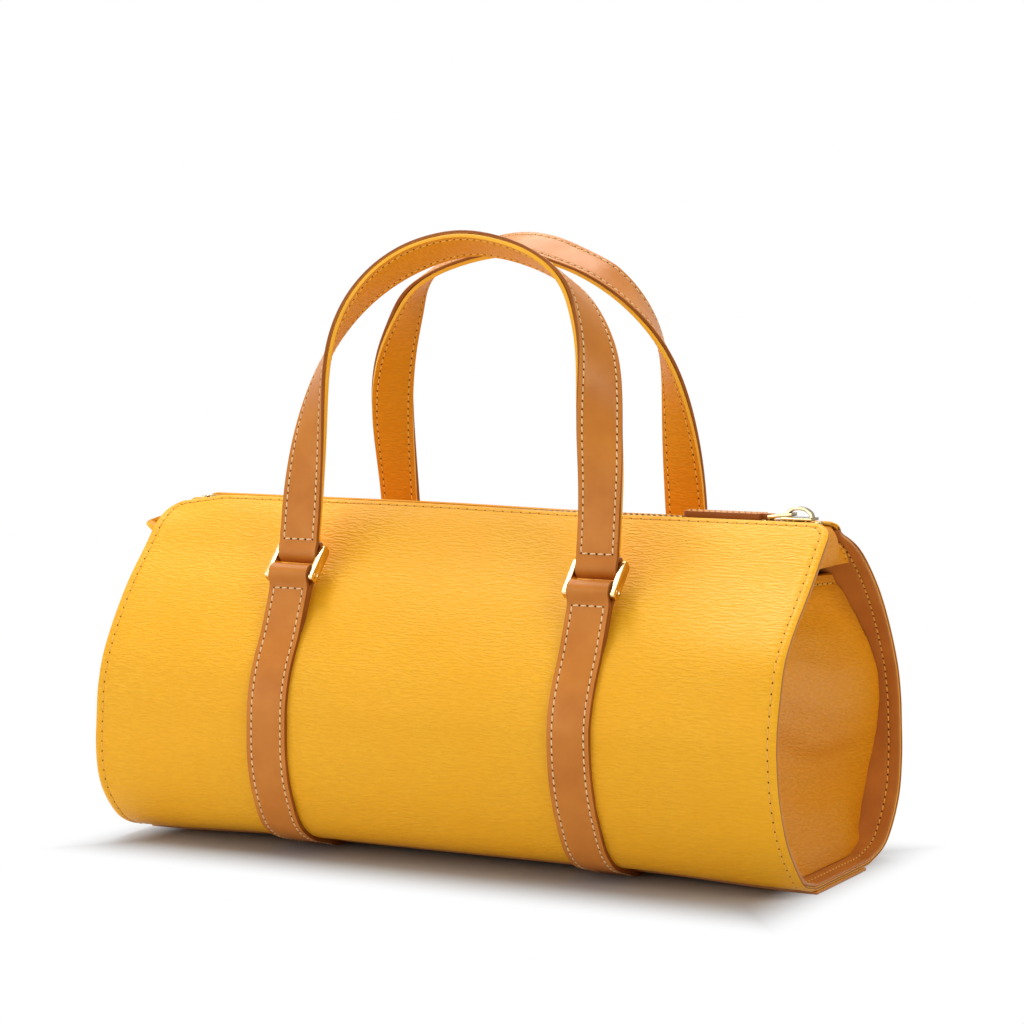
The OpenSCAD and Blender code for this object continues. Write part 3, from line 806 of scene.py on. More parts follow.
panelSettings = {
    "thickness": 1.25, "round": 0.4, "turn": 0.6, "turnWidth": 2.0, "bead": 0.12, "beadPlace": (2.0, 1.0),
    "columns": (3.2, 0.55, 12), "rows": 2.0, "topRows": 0.5, "topZone": 12, "threadLow": 0.15,
    "lowWall": 60, "lookUp": 0.4, "lookDown": -1.5, "rimStep": 2.0, "turnStep": 0.2, "zipStep": 3.0,
    "materials": [yellowLeather, yellowEdge]}


def makePanelPlace(side):
    settings = panelSettings

    def place(u, v):
        b = wallLength - v
        x = u * panelHalf(b) / bodyShape["halfLength"]
        a = bodyShape["halfLength"] - abs(x)
        rim = min(panelHalf(b) - abs(x), b)
        depth = seamSettings["groove"] * bell(seamDistance(a, b), 0, seamSettings["grooveWidth"])
        depth += settings["turn"] * turnIn(rim, settings["turnWidth"])
        depth -= settings["bead"] * bell(rim, *settings["beadPlace"])
        return bodyPoint(x, v, depth, side)
    return place


# a line parallel to the panel's edge, up one rim, round the corner, along the zip and down the other rim
def edgeLine(inset, topInset, corner, low):
    settings = panelSettings
    half, top = bodyShape["halfLength"] - inset, wallLength - topInset
    line = [(-half, s) for s in stations(low, top - corner, settings["rimStep"])]
    for t in stations(0, math.pi / 2, settings["turnStep"])[1:]:
        line.append((-half + corner - corner * math.cos(t), top - corner + corner * math.sin(t)))
    line += [(x, top) for x in stations(-half + corner, half - corner, settings["zipStep"])[1:]]
    line += [(-x, s) for x, s in reversed(line[:-1]) if x < -half + corner]
    return line


def makePanel(side):
    settings = panelSettings
    place = makePanelPlace(side)
    half, top = bodyShape["halfLength"], wallLength - settings["topZone"]
    us = stations(-half, half, *settings["columns"])
    vs = stations(0, top, settings["rows"]) + stations(top, wallLength, settings["topRows"])[1:]
    panel = addSheet(sides[side] + "PanelLeather", us, vs, place, (0, side, 0), settings)
    finishPiece(panel, "bag", "yellow_leather", sides[side] + "_panel")
    start = wallLengthAt(bodyShape["base"] + settings["threadLow"])
    run = []
    for x, s in edgeLine(seamSettings["rim"], seamSettings["top"], seamSettings["corner"], start):
        u = x * half / panelHalf(wallLength - s)
        out = Vector((0, side, settings["lookUp" if s > settings["lowWall"] else "lookDown"]))
        run.append((place(u, s), normalAt(lambda a, b: bodyPoint(a, b, 0, side), x, s, out)))
    addStitches(sides[side] + "PanelStitches", [run], "bag", goldThread, panelThread)


for side in sides:
    makePanel(side)
print("panels ready")

edgeLineSettings = {
    "thickness": 0.55, "width": 2.4, "proud": 0.12, "depth": 1.3, "round": 0.15, "zipEdge": 140, "low": 0.1,
    "foot": 3.5, "footLift": 0.1, "materials": [panelEdge]}


# the painted line between the panel and its lining, which shows along the whole edge
def makeEdgeLine(side):
    settings = edgeLineSettings
    proud, width, corner = settings["proud"], settings["width"], bodyShape["corner"]
    outer = edgeLine(-proud, -proud, corner, settings["low"])
    inner = edgeLine(width, width, corner - width, settings["low"])
    last = len(outer) - 1

    def place(u, v):
        i = min(round(v), last)
        j = round(i * (len(inner) - 1) / last)
        x, s = (mix(a, b, u) for a, b in zip(outer[i], inner[j]))
        return bodyPoint(x, s, settings["depth"], side)
    name = sides[side] + "PanelEdgeLine"
    piece = addSheet(name, [0, 0.5, 1], list(range(last + 1)), place, (0, -side, -1), settings)
    for vertex in piece.data.vertices:
        if vertex.co.z < settings["foot"] * mm:
            vertex.co.z += settings["footLift"] * mm
    piece.data.materials.append(yellowEdge)
    for face in piece.data.polygons:  # along the zip the line is painted yellow
        face.material_index = 1 if face.center.z > settings["zipEdge"] * mm else 0
    finishPiece(piece, "bag", "tan_leather")


patchSettings = {
    "halfWidth": 26, "seam": 23, "thickness": 1.35, "round": 0.35, "face": 2.02, "groove": 0.25,
    "grooveWidth": 0.7, "threadFace": 1.99, "threadEnd": 4, "threadStep": 3, "columns": (4, 0.8, 6),
    "rows": (2, 0.5, 5), "materials": [yellowLeather, tanEdge]}


def makePatch(settings):
    half, wide, seam = bodyShape["halfLength"], settings["halfWidth"], settings["seam"]

    def place(u, v):
        groove = settings["groove"] * bell(abs(v), seam, settings["grooveWidth"])
        return settle(u, v, settings["face"] + groove)
    us, vs = stations(-half, half, *settings["columns"]), stations(-wide, wide, *settings["rows"])
    patch = addSheet("basePatchLeather", us, vs, place, (0, 0, -1), settings)
    finishPiece(patch, "bag", "yellow_leather", "base_patch")
    xs = stations(-half + settings["threadEnd"], half - settings["threadEnd"], settings["threadStep"])
    runs = [[(settle(x, y, settings["threadFace"]), Vector((0, 0, -1))) for x in xs] for y in (-seam, seam)]
    addStitches("basePatchStitches", runs, "bag", goldThread)


makePatch(patchSettings)

facingSettings = {
    "depth": 26, "fineDepth": 9, "short": 4.5, "rimGap": 0.15, "inner": 3.0, "thickness": 1.3, "round": 0.3,
    "groove": 0.22, "grooveWidth": 0.7, "turn": 0.25, "turnWidth": 1.2, "stitchIn": 5.0, "threadEnd": 8,
    "threadStep": 1.5, "middle": 75, "fineColumns": 0.5, "columns": 2.4, "rows": 1.6,
    "materials": [facingLeather, tanEdge]}


# the wall from the back round the base to the front, w runs from minus to plus the wall length
def wrapPoint(x, w, depth):
    return bodyPoint(x, abs(w), depth, 1 if w < 0 else -1)


def makeFacing(end):
    settings = facingSettings
    half, reach = bodyShape["halfLength"], wallLength - settings["short"]

    def place(u, v):
        x = end * (panelHalf(wallLength - abs(v)) - settings["rimGap"] - u)
        turn = settings["turn"] * turnIn(u, settings["turnWidth"])
        groove = settings["groove"] * bell(u, settings["stitchIn"], settings["grooveWidth"])
        return wrapPoint(x, v, settings["inner"] - turn - groove)

    def plain(u, v):
        return wrapPoint(end * (half - u), v, settings["inner"])
    fine = settings["fineDepth"]
    us = stations(0, fine, settings["fineColumns"])
    us += stations(fine, settings["depth"], settings["columns"])[1:]
    vs = stations(-reach, reach, settings["rows"])
    name = ends[end] + "EndFacing"
    facing = addSheet(name + "Leather", us, vs, place, (0, 0, 1), settings)
    finishPiece(facing, "bag", "tan_leather", ends[end] + "_end_facing")
    run = []
    last = reach - settings["threadEnd"]
    for w in stations(-last, last, settings["threadStep"]):
        p = place(settings["stitchIn"], w)
        inward = Vector((0, -p.y, settings["middle"] * mm - p.z))
        run.append((p, normalAt(plain, settings["stitchIn"], w, inward)))
    addStitches(name + "Stitches", [run], "bag", goldThread)


for end in ends:
    makeFacing(end)
for side in sides:
    makeEdgeLine(side)
print("end facings ready")


# the value at z of a smooth line through (z, value) pairs
def lineAt(pairs, z):
    for (z0, a), (z1, b) in zip(pairs, pairs[1:]):
        if z <= z1:
            return mix(a, b, halfSmooth(max(z - z0, 0) / (z1 - z0)))
    return pairs[-1][1]


# how far the gusset lies inside the rim at its seams and along its middle: the lower part leans outwards, the
# part above it is drawn in to a soft fold and bulges again, and the hem lies deepest
gussetSettings = {
    "seam": [(6, 9), (9, 10), (15, 13), (24, 14), (36, 12.8), (45, 10.8), (55, 9), (68, 7.8), (77, 7.6),
             (88, 8.8), (98, 11), (109, 13.4), (118, 16)],
    "middle": [(6, 9), (12, 10), (24, 14.5), (36, 20), (46, 20.5), (57, 15), (70, 10.5), (82, 11), (94, 15.5),
               (106, 21), (118, 22.5)],
    "height": 119.2, "bottom": 6.75, "fold": 16, "foldPlace": (-0.7, 1.1), "foldBack": 0.85, "crown": 0.8,
    "uneven": 0.5, "fit": 2.9, "thickness": 1.9, "round": 0.7, "hem": 0.35, "hemPlace": (3.6, 0.9),
    "turn": 1.2, "turnWidth": 0.03, "slope": 0.18, "threadEnd": 0.93, "threadStep": 0.03,
    "unevenScale": (1.7, 5.0, 0.4), "above": 0.05, "columns": (4, 0.9, 6), "rows": (0.7, 2.2, 0.5),
    "footEnd": 16, "hemZone": 8, "smoothAngle": 50, "materials": [gussetLeather, yellowEdge]}


def makeGusset(end):
    settings = gussetSettings
    low, high = settings["bottom"], settings["height"]
    across, up, turn = settings["unevenScale"]

    # a runs across from -1 to 1 and z is the height
    def place(a, z):
        z = min(max(z, low), high)
        s = (z - low) / (high - low)
        crown = 1 - min(a * a, 1)
        slant = ramp(a, *settings["foldPlace"]) - settings["foldBack"]  # the fold falls to the back
        middle = z + settings["fold"] * slant * math.sin(math.pi * s) ** 2
        inner = mix(lineAt(settings["seam"], z), lineAt(settings["middle"], min(max(middle, low), high)),
                    crown ** settings["crown"])
        inner += settings["uneven"] * crown * noise.noise(Vector((a * across, s * up, turn * end)))
        inner += settings["hem"] * bell(high - z, *settings["hemPlace"])
        inner += settings["turn"] * turnIn(1 - abs(a), settings["turnWidth"])
        y = a * innerHalf(max(z, low + settings["above"]), settings["fit"])
        return settle(end * (bodyShape["halfLength"] - inner), y, z)
    us = [u / 100 for u in stations(-100, 100, *settings["columns"])]
    heights, vs = (low, settings["footEnd"], high - settings["hemZone"], high), [low]
    for start, stop, step in zip(heights, heights[1:], settings["rows"]):
        vs += stations(start, stop, step)[1:]
    name = ends[end] + "Gusset"
    piece = addSheet(name + "Leather", us, vs, place, (end, 0, 0), settings)
    layGrain(piece, lambda co: (co.y, co.z + settings["slope"] * co.y))
    finishPiece(piece, "bag", "yellow_leather", ends[end] + "_gusset")
    z = high - settings["hemPlace"][0]
    spots = stations(-settings["threadEnd"], settings["threadEnd"], settings["threadStep"])
    run = [(place(a, z), Vector((end, 0, 0))) for a in spots]
    addStitches(name + "HemStitches", [run], "bag", goldThread)


for end in ends:
    makeGusset(end)

hoodSettings = {
    "rimIn": 4.5, "low": 125, "neck": 134, "roll": 131, "top": 141.6, "topHalf": 8.6, "fit": 3.0, "lap": 2,
    "lapRise": 0.8, "depth": 5, "tuck": 3.5, "tuckHeight": 0.55, "flare": 14, "flareWidth": 0.4,
    "groove": 0.25, "grooveWidth": 0.7, "turn": 0.7, "turnWidth": 1.8, "thickness": 1.6, "round": 0.5,
    "stitchIn": 3.0, "neckRise": 7, "tuckFade": 0.5, "edgeMost": 9, "lapOver": 2, "columns": (5, 1.5, 20),
    "rows": 0.7, "threadFoot": 2, "threadTop": 3, "threadStep": 1.0, "threadLook": (0.4, 0.3),
    "materials": [gussetLeather, yellowEdge], "smoothAngle": 50}


# the hood closes the end above the gusset: its lower edge is tucked in, it bulges, and rolls over to lap the
# end of the zip; at the left end it also stands out past the rim
def makeHood(end):
    settings = hoodSettings
    low, neck, roll, top = (settings[key] for key in ("low", "neck", "roll", "top"))

    def halfAt(z):
        lower = innerHalf(min(z, neck), settings["fit"])
        share = halfSmooth((z - neck) / settings["neckRise"])
        return lower if z < neck else mix(lower, settings["topHalf"], share)

    # v is the height up to the top and then the way over the zip
    def place(a, v):
        z = min(max(v, low), top)
        s = (z - low) / (top - low)
        turn = max(z - roll, 0) / (top - roll)
        tuck = settings["tuck"] * turnIn(s, settings["tuckHeight"]) * (1 - settings["tuckFade"] * a * a)
        inner = settings["rimIn"] + tuck
        inner += settings["depth"] * (1 - math.sqrt(max(1 - turn * turn, 0))) + max(v - top, 0)
        if end < 0:
            flare = bell(a, -1, settings["flareWidth"]) * math.sin(math.pi * min(s, 1)) * (1 - turn)
            inner -= settings["flare"] * flare
        half = halfAt(z)
        edge = min((1 - abs(a)) * half, settings["edgeMost"])
        inner += settings["groove"] * bell(edge, settings["stitchIn"], settings["grooveWidth"])
        inner += settings["turn"] * turnIn(edge, settings["turnWidth"])
        rise = settings["lapRise"] * ramp(v, top, settings["lapOver"])
        return settle(end * (bodyShape["halfLength"] - inner), a * half, z + rise)
    us = [u / 100 for u in stations(-100, 100, *settings["columns"])]
    rows = settings["rows"]
    vs = stations(low, top, rows) + stations(top, top + settings["lap"], rows)[1:]
    name = ends[end] + "EndHood"
    piece = addSheet(name + "Leather", us, vs, place, (end, 0, 0), settings)
    layGrain(piece, lambda co: (co.y, co.z))
    runs = []
    sideways, up = settings["threadLook"]
    leg = stations(low + settings["threadFoot"], top - settings["threadTop"], settings["threadStep"])
    for side in sides:
        out = Vector((end, side * sideways, up)).normalized()
        runs.append([(place(side * (1 - settings["stitchIn"] / halfAt(z)), z), out) for z in leg])
    addStitches(name + "Stitches", runs, "bag", goldThread)
    finishPiece(piece, "bag", "yellow_leather", ends[end] + "_end_hood")


for end in ends:
    makeHood(end)
print("gussets and hoods ready")

liningSettings = {
    "thickness": 0.7, "depth": 1.85, "halfLength": 128.9, "short": 5, "columns": 5, "rows": 2.5,
    "materials": [liningCloth]}
boardSettings = {"materials": [boardFinish], "round": 0.5, "segments": 3}


def makeLining(settings):
    reach = wallLength - settings["short"]

    def place(u, v):
        return wrapPoint(u, v, settings["depth"] + settings["thickness"])
    xs = stations(-settings["halfLength"], settings["halfLength"], settings["columns"])
    ws = stations(-reach, reach, settings["rows"])
    piece = addSheet("bodyLiningCloth", xs, ws, place, (0, 0, 1), settings)
    finishPiece(piece, "bag", "lining_cloth", "body_lining")


makeLining(liningSettings)
refineNode("base_board", "baseBoard", boardSettings, "bag", "board")

# the tape lies under the panel's edge for part of its cut width, and level beside the teeth for the rest
tapeSettings = {
    "halfLength": 147, "edge": 2.2, "thickness": 0.6, "top": 142.55, "depth": 1.85, "under": 9.4,
    "level": 6.7, "cut": 16.1, "bend": 2, "columns": 6, "underRows": 1.2, "levelRows": 0.6,
    "materials": [zipCloth]}


def makeTape(side):
    settings = tapeSettings
    under, level = settings["under"], settings["level"]
    bend = wallAt(wallLength, settings["depth"])

    # v runs from under the panel to the zip edge at 0, then level to the tape's own edge
    def place(u, v):
        if v <= 0:
            p = wallAt(wallLength + v, settings["depth"])
            return settle(u, side * abs(p.x), p.y)
        y = mix(abs(bend.x), settings["edge"], v / level)
        return settle(u, side * y, mix(bend.y, settings["top"], smooth(v / settings["bend"])))
    xs = stations(-settings["halfLength"], settings["halfLength"], settings["columns"])
    vs = stations(-under, 0, settings["underRows"]) + stations(0, level, settings["levelRows"])[1:]
    piece = addSheet(sides[side] + "ZipTapeCloth", xs, vs, place, (0, 0, 1), settings)
    finishPiece(piece, "bag", "zip_tape", sides[side] + "_zip_tape")


for side in sides:
    makeTape(side)

toothSettings = {
    "start": -142.45, "pitch": 2.6, "count": 109, "z": 142.29, "block": (1.15, 1.6, 1.7), "blockAt": -1.95,
    "head": [(0.7, (1.12, 1, 0.8)), (0.8, (0.8, 1, 0.7))], "round": 0.16, "segments": 1, "angle": 30}


# one tooth: a block over the tape's edge with a narrower head that reaches between its neighbours
def makeTeeth(settings):
    tooth = addStart(bpy.ops.mesh.primitive_cube_add, "toothTemplate", size=mm, scale=settings["block"],
                     location=(0, settings["blockAt"] * mm, 0))
    editFaces(tooth, (0, 1, 0))
    for reach, scale in settings["head"]:
        extrude((0, reach * mm, 0), scale)
    bpy.ops.object.mode_set(mode="OBJECT")
    roundEdges(tooth, settings["round"], settings["segments"], settings["angle"])
    for side in sides:
        matrices = []
        for i in range(settings["count"]):
            x = settings["start"] + (i + (0.5 if side > 0 else 0)) * settings["pitch"]
            place = Matrix.Translation(Vector((x, 0, settings["z"])) * mm)
            matrices.append(place @ Matrix.Rotation(math.pi if side > 0 else 0, 4, "Z"))
        row = stamp(sides[side] + "ZipTeethRow", tooth, matrices, teethMetal, settings["angle"])
        finishPiece(row, "bag", "zip_metal", sides[side] + "_zip_teeth")
    bpy.data.objects.remove(tooth)


makeTeeth(toothSettings)

zipSettings = {
    "stops": {"materials": [zipMetal], "round": 0.3},
    "slider": {"materials": [zipMetal], "round": 0.35, "segments": 3},
    "pullLink": {"materials": [zipMetal], "round": 0.25},
    "tab": {"materials": [tanLeather, edgePaint], "round": 0.45, "segments": 3}}
refineNode("zip_end_stops", "zipEndStops", zipSettings["stops"], "bag", "zip_metal")
refineNode("zip_slider", "zipSliderBody", zipSettings["slider"], "zip_slider", "zip_metal")
pullSettings = {
    "droop": 1.2, "from": 133, "over": 8, "tail": 4.5, "head": 6.2, "half": 2.8, "turnStep": 0.3,
    "levelFrom": 0.6}


# the pull hangs from the slider's bridge down to the teeth and lies on them
def droop(piece):
    for vertex in piece.data.vertices:
        share = ramp(-vertex.co.x / mm, -pullSettings["from"], pullSettings["over"])
        vertex.co.z -= pullSettings["droop"] * share * mm


droop(refineNode("zip_pull_link", "zipPullLink", zipSettings["pullLink"], "zip_pull", "zip_metal"))


def makePullTab(settings):
    tab = refineNode("zip_pull_tab", "zipPullTab", zipSettings["tab"], "zip_pull", "tan_leather")
    droop(tab)
    for face in tab.data.polygons:
        if abs(face.normal.z) < settings["levelFrom"]:
            face.material_index = 1
    layGrain(tab, lambda co: (co.y, co.x))
    low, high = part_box("zip_pull_tab")
    x0, x1 = low.x + settings["tail"] * mm, high.x - settings["head"] * mm
    half = settings["half"] * mm
    outline = [(x1, -half), (x0, -half)]
    turns = stations(0, math.pi, settings["turnStep"])[1:-1]
    outline += [(x0 - half * math.sin(t), -half * math.cos(t)) for t in turns]
    outline += [(x0, half), (x1, half)]
    runs = []
    for z, out in ((high.z, 1), (low.z, -1)):
        runs.append([(Vector((*p, z - settings["droop"] * mm)), Vector((0, 0, out))) for p in outline])
    addStitches("zipPullTabStitches", runs, "zip_pull", creamThread, tabThread)


makePullTab(pullSettings)
print("zip ready")

strapSettings = {
    "at": 69, "width": 18.2, "thickness": 1.95, "ply": 2.0, "pin": (-48.2605, 116.593), "loop": 4.4,
    "outerLeaves": 90.5, "innerLeaves": 98.7, "innerEnd": 6, "innerGap": 0.12, "neck": 5.3, "upright": 0.5,
    "overPatch": 1.4, "patchEdge": (-33, 6), "patchHeight": 9, "skived": 0.12, "stitchIn": 2.2,
    "groove": 0.24, "grooveWidth": 0.6, "swell": 0.12, "swellPlace": (3, 3), "step": 2.0, "riseParts": 8,
    "fallParts": 9, "sewnFrom": -2, "sewnOver": 3, "columns": (1.6, 0.45, 4), "threadStep": 1.5,
    "round": 0.45, "segments": 3, "materials": [tanLeather, edgePaint]}


# the grain side of the strap's front half seen edge-on, (y, z) in mm: from the end of the inner ply up, round
# the pin and down the outside to the middle of the base, with the numbers of the points at the loop's foot
def strapOutline(settings):
    pin, thick = Vector(settings["pin"]), settings["ply"]

    def outerAt(s):
        p = wallAt(s)
        over = settings["overPatch"] * ramp(-abs(p.x), *settings["patchEdge"])
        return wallAt(s, -thick - (over if p.y < settings["patchHeight"] else 0))
    leave, step = wallLengthAt(settings["innerLeaves"]), settings["step"]
    inner = [wallAt(s, -settings["innerGap"]) for s in stations(leave - settings["innerEnd"], leave, step)]
    outer = [outerAt(s) for s in stations(0, wallLengthAt(settings["outerLeaves"]), step)]
    down = (inner[-1] + outer[-1]) / 2 - pin
    down = Vector((down.x * settings["upright"], down.y)).normalized()
    neck, ply = pin + settings["neck"] * down, thick * Vector((-down.y, down.x))
    up, fallen = settings["riseParts"], settings["fallParts"]
    rise = [inner[-1].lerp(neck + ply, k / up) for k in range(1, up)]
    loop = loopLine(neck + ply, neck - ply, pin, settings["loop"], 1)
    fall = [(neck - ply).lerp(outer[-1], k / fallen) for k in range(1, fallen)]
    start = len(inner) + len(rise)
    return eased(inner + rise + loop + fall + outer[::-1]), start, start + len(loop) - 1


# the groove of the stitches and the swell between them, where a strap is sewn
def sewnDepth(edge, settings):
    groove = settings["groove"] * bell(edge, settings["stitchIn"], settings["grooveWidth"])
    return groove - settings["swell"] * ramp(edge, *settings["swellPlace"])


def makeStrap(end):
    settings = strapSettings
    front, ply, neck = strapOutline(settings)
    ring = front + [Vector((-p.x, p.y)) for p in reversed(front[:-1])]
    count = len(ring)
    steps = [stepAt(ring, i) for i in range(count)]
    outs = [Vector((d.y, -d.x)).normalized() for d in steps]
    middle, half = end * settings["at"], settings["width"] / 2
    offset = half - settings["stitchIn"]

    def fromEnd(i):
        return min(i, count - 1 - i)

    def place(u, i):
        sewn = ramp(fromEnd(i), neck + settings["sewnFrom"], settings["sewnOver"])
        p = ring[i] - outs[i] * sewn * sewnDepth(half - abs(u), settings)
        return settle(middle + u, p.x, p.y)

    def thinning(i):  # the inner ply is skived towards its end on the wall
        return mix(settings["skived"], 1.0, smooth(fromEnd(i) / ply))
    us = stations(-half, half, *settings["columns"])
    name = ends[end] + "BodyStrap"
    piece = addSheet(name + "Leather", us, list(range(count)), place, (0, 0, -1), settings, lengthsOf(ring),
                     thinning)
    finishPiece(piece, "bag", "tan_leather", ends[end] + "_body_strap")

    def run(spots):
        return [(place(u, i), Vector((0, *outs[i]))) for u, i in spots]
    # two rows along the edges and a cross row under each link
    runs = [run([(u, i) for i in range(neck, count - neck)]) for u in (-offset, offset)]
    cross = stations(-offset, offset, settings["threadStep"])
    runs += [run([(u, i) for u in cross]) for i in (neck, count - 1 - neck)]
    addStitches(name + "Stitches", runs, "bag", creamThread)


for end in ends:
    makeStrap(end)
print("body straps ready")

linkSettings = {"round": 0.45, "segments": 3, "materials": [goldMetal]}
pinSettings = {"round": 0.18, "segments": 2, "materials": [goldMetal]}
screwSettings = {
    "radius": 1.25, "depth": 0.6, "rim": 0.28, "slope": 0.18, "sunk": 0.22, "vertices": 28, "angle": 30}


# a screw head with a sunk face, on the outer face of one side of a link
def makeScrew(name, place, face, body):
    settings = screwSettings
    head = addStart(bpy.ops.mesh.primitive_cylinder_add, name, vertices=settings["vertices"],
                    radius=settings["radius"] * mm, depth=settings["depth"] * mm, location=place,
                    rotation=(0, math.pi / 2, 0))
    head.data.materials.append(goldMetal)
    editFaces(head, (face, 0, 0))
    bpy.ops.mesh.inset(thickness=settings["rim"] * mm, depth=0)
    bpy.ops.mesh.inset(thickness=settings["slope"] * mm, depth=-settings["sunk"] * mm)
    bpy.ops.object.mode_set(mode="OBJECT")
    smoothShade(head, settings["angle"])
    finishPiece(head, body, "link_brass")


def makeLink(side, end):
    node = sides[side] + "_" + ends[end] + "_link"
    name = sides[side] + ends[end].title() + "Link"
    refineNode(node, name + "Frame", linkSettings, node, "link_brass")
    refineNode(node + "_pin", name + "Pin", pinSettings, node, "link_brass")
    low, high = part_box(node + "_pin")
    middle = (low + high) / 2
    for face, x in ((-1, low.x), (1, high.x)):
        makeScrew(name + "Screw" + ends[face].title(), (x, middle.y, middle.z), face, node)


for side in sides:
    for end in ends:
        makeLink(side, end)
print("links ready")

# bow is (depth, height, reach), shoulder is (leg, widening, height, reach), for the front and the back handle
handleSettings = {
    "bar": (40.829, 124.703), "at": 69, "rise": 129, "leg": 20, "lean": 8.8, "twist": 107,
    "twistPlace": (15, 130), "acrossPower": 1.1, "crownPower": 0.58, "width": 18.2, "ply": 2.0, "join": 5.3,
    "loop": 4.4, "spacing": 1.9, "upright": 1.8, "uprightTo": 8, "leanPlace": (20, 50), "liningWidth": 0.985,
    "liningFace": 1.35, "skived": 0.72,
    "bow": {-1: (7.4, 62, 28), 1: (2.6, 88, 26)}, "shoulder": {-1: (1, 2.6, 116, 13), 1: (-1, -5.2, 115, 13)},
    "crownDrift": -3, "crownPlace": (118, 10), "flank": (0, 30),
    "legParts": 8, "archParts": 180, "sewnFrom": -2, "sewnOver": 3, "skivedPlace": (4, 8),
    "fullPlace": (6, 8), "liningSunk": 0.03, "columns": (1.5, 0.45, 4), "threadStep": 1.5,
    "outer": {"thickness": 1.95, "round": 0.45, "segments": 3, "materials": [tanLeather, edgePaint]},
    "lining": {"thickness": 1.8, "round": 0.4, "materials": [gussetLeather, yellowEdge]}}
handleSewing = {"stitchIn": 2.2, "groove": 0.24, "grooveWidth": 0.6, "swell": 0.12, "swellPlace": (2.5, 4)}
liningSewing = {**handleSewing, "groove": 0.22}


# frames along the strap's middle: (point, face direction, width direction), upright, the bars at height zero
def handleFrames(settings):
    a, leg, join = settings["at"], settings["leg"], settings["join"]
    parts, turns = settings["legParts"], settings["archParts"]
    legs = [mix(join, leg, i / parts) for i in range(parts)]
    line = [Vector((-a, z)) for z in legs]
    for i in range(turns + 1):
        t = math.pi * smooth(i / turns)
        c, s = math.cos(t), math.sin(t)
        x = -a * math.copysign(abs(c) ** settings["acrossPower"], c)
        line.append(Vector((x, leg + (settings["rise"] - leg) * abs(s) ** settings["crownPower"])))
    line = evenly(line + [Vector((a, z)) for z in reversed(legs)], settings["spacing"])
    way = lengthsOf(line, join)
    frames = []
    for i, p in enumerate(line):
        t = stepAt(line, i).normalized()
        s = min(way[i], way[-1] + join - way[i])
        turn = math.radians(settings["twist"] * ramp(s, *settings["twistPlace"]))
        face = math.cos(turn) * Vector((0, -1, 0)) + math.sin(turn) * Vector((-t.y, 0, t.x))
        frames.append((Vector((p.x, 0, p.y)), face, Vector((t.x, 0, t.y)).cross(face)))
    return frames


# frames of the grain side round the bar at the foot of a leg, in the order of the strap from left to right
def loopFrames(end, settings):
    join, thick = settings["join"], settings["ply"]
    line = loopLine(Vector((thick, join)), Vector((-thick, join)), Vector((0, 0)), settings["loop"], -1)
    line = eased(line, 2)
    frames = []
    for i, p in enumerate(line):
        d = stepAt(line, i)
        place = Vector((end * settings["at"], *p))
        frames.append((place, Vector((0, -d.y, d.x)).normalized(), Vector((-end, 0, 0))))
    return frames if end < 0 else frames[::-1]


# sets a point that is drawn upright on the bars of the links; the legs stand upright above the loops before
# they lean, the right legs bow away from the bag, one shoulder of each handle is uneven, and the back's crown
# drifts to the left
def hang(point, side):
    settings = handleSettings
    lean = math.radians(settings["lean"])
    y, z = point.y, point.z
    upright = settings["upright"] * smooth(z / settings["uprightTo"]) * (1 - ramp(z, *settings["leanPlace"]))
    y, z = y * math.cos(lean) + z * math.sin(lean) - upright, -y * math.sin(lean) + z * math.cos(lean)
    depth, middle, reach = settings["bow"][side]
    right = ramp(point.x, *settings["flank"])
    y -= settings["bar"][0] + depth * right * bell(point.z, middle, reach)
    leg, wide, middle, reach = settings["shoulder"][side]
    x = point.x + wide * ramp(leg * point.x, *settings["flank"]) * bell(point.z, middle, reach)
    if side > 0:
        x += settings["crownDrift"] * right * ramp(point.z, *settings["crownPlace"])
    return Vector((x, y if side < 0 else -y, z + settings["bar"][1])) * mm


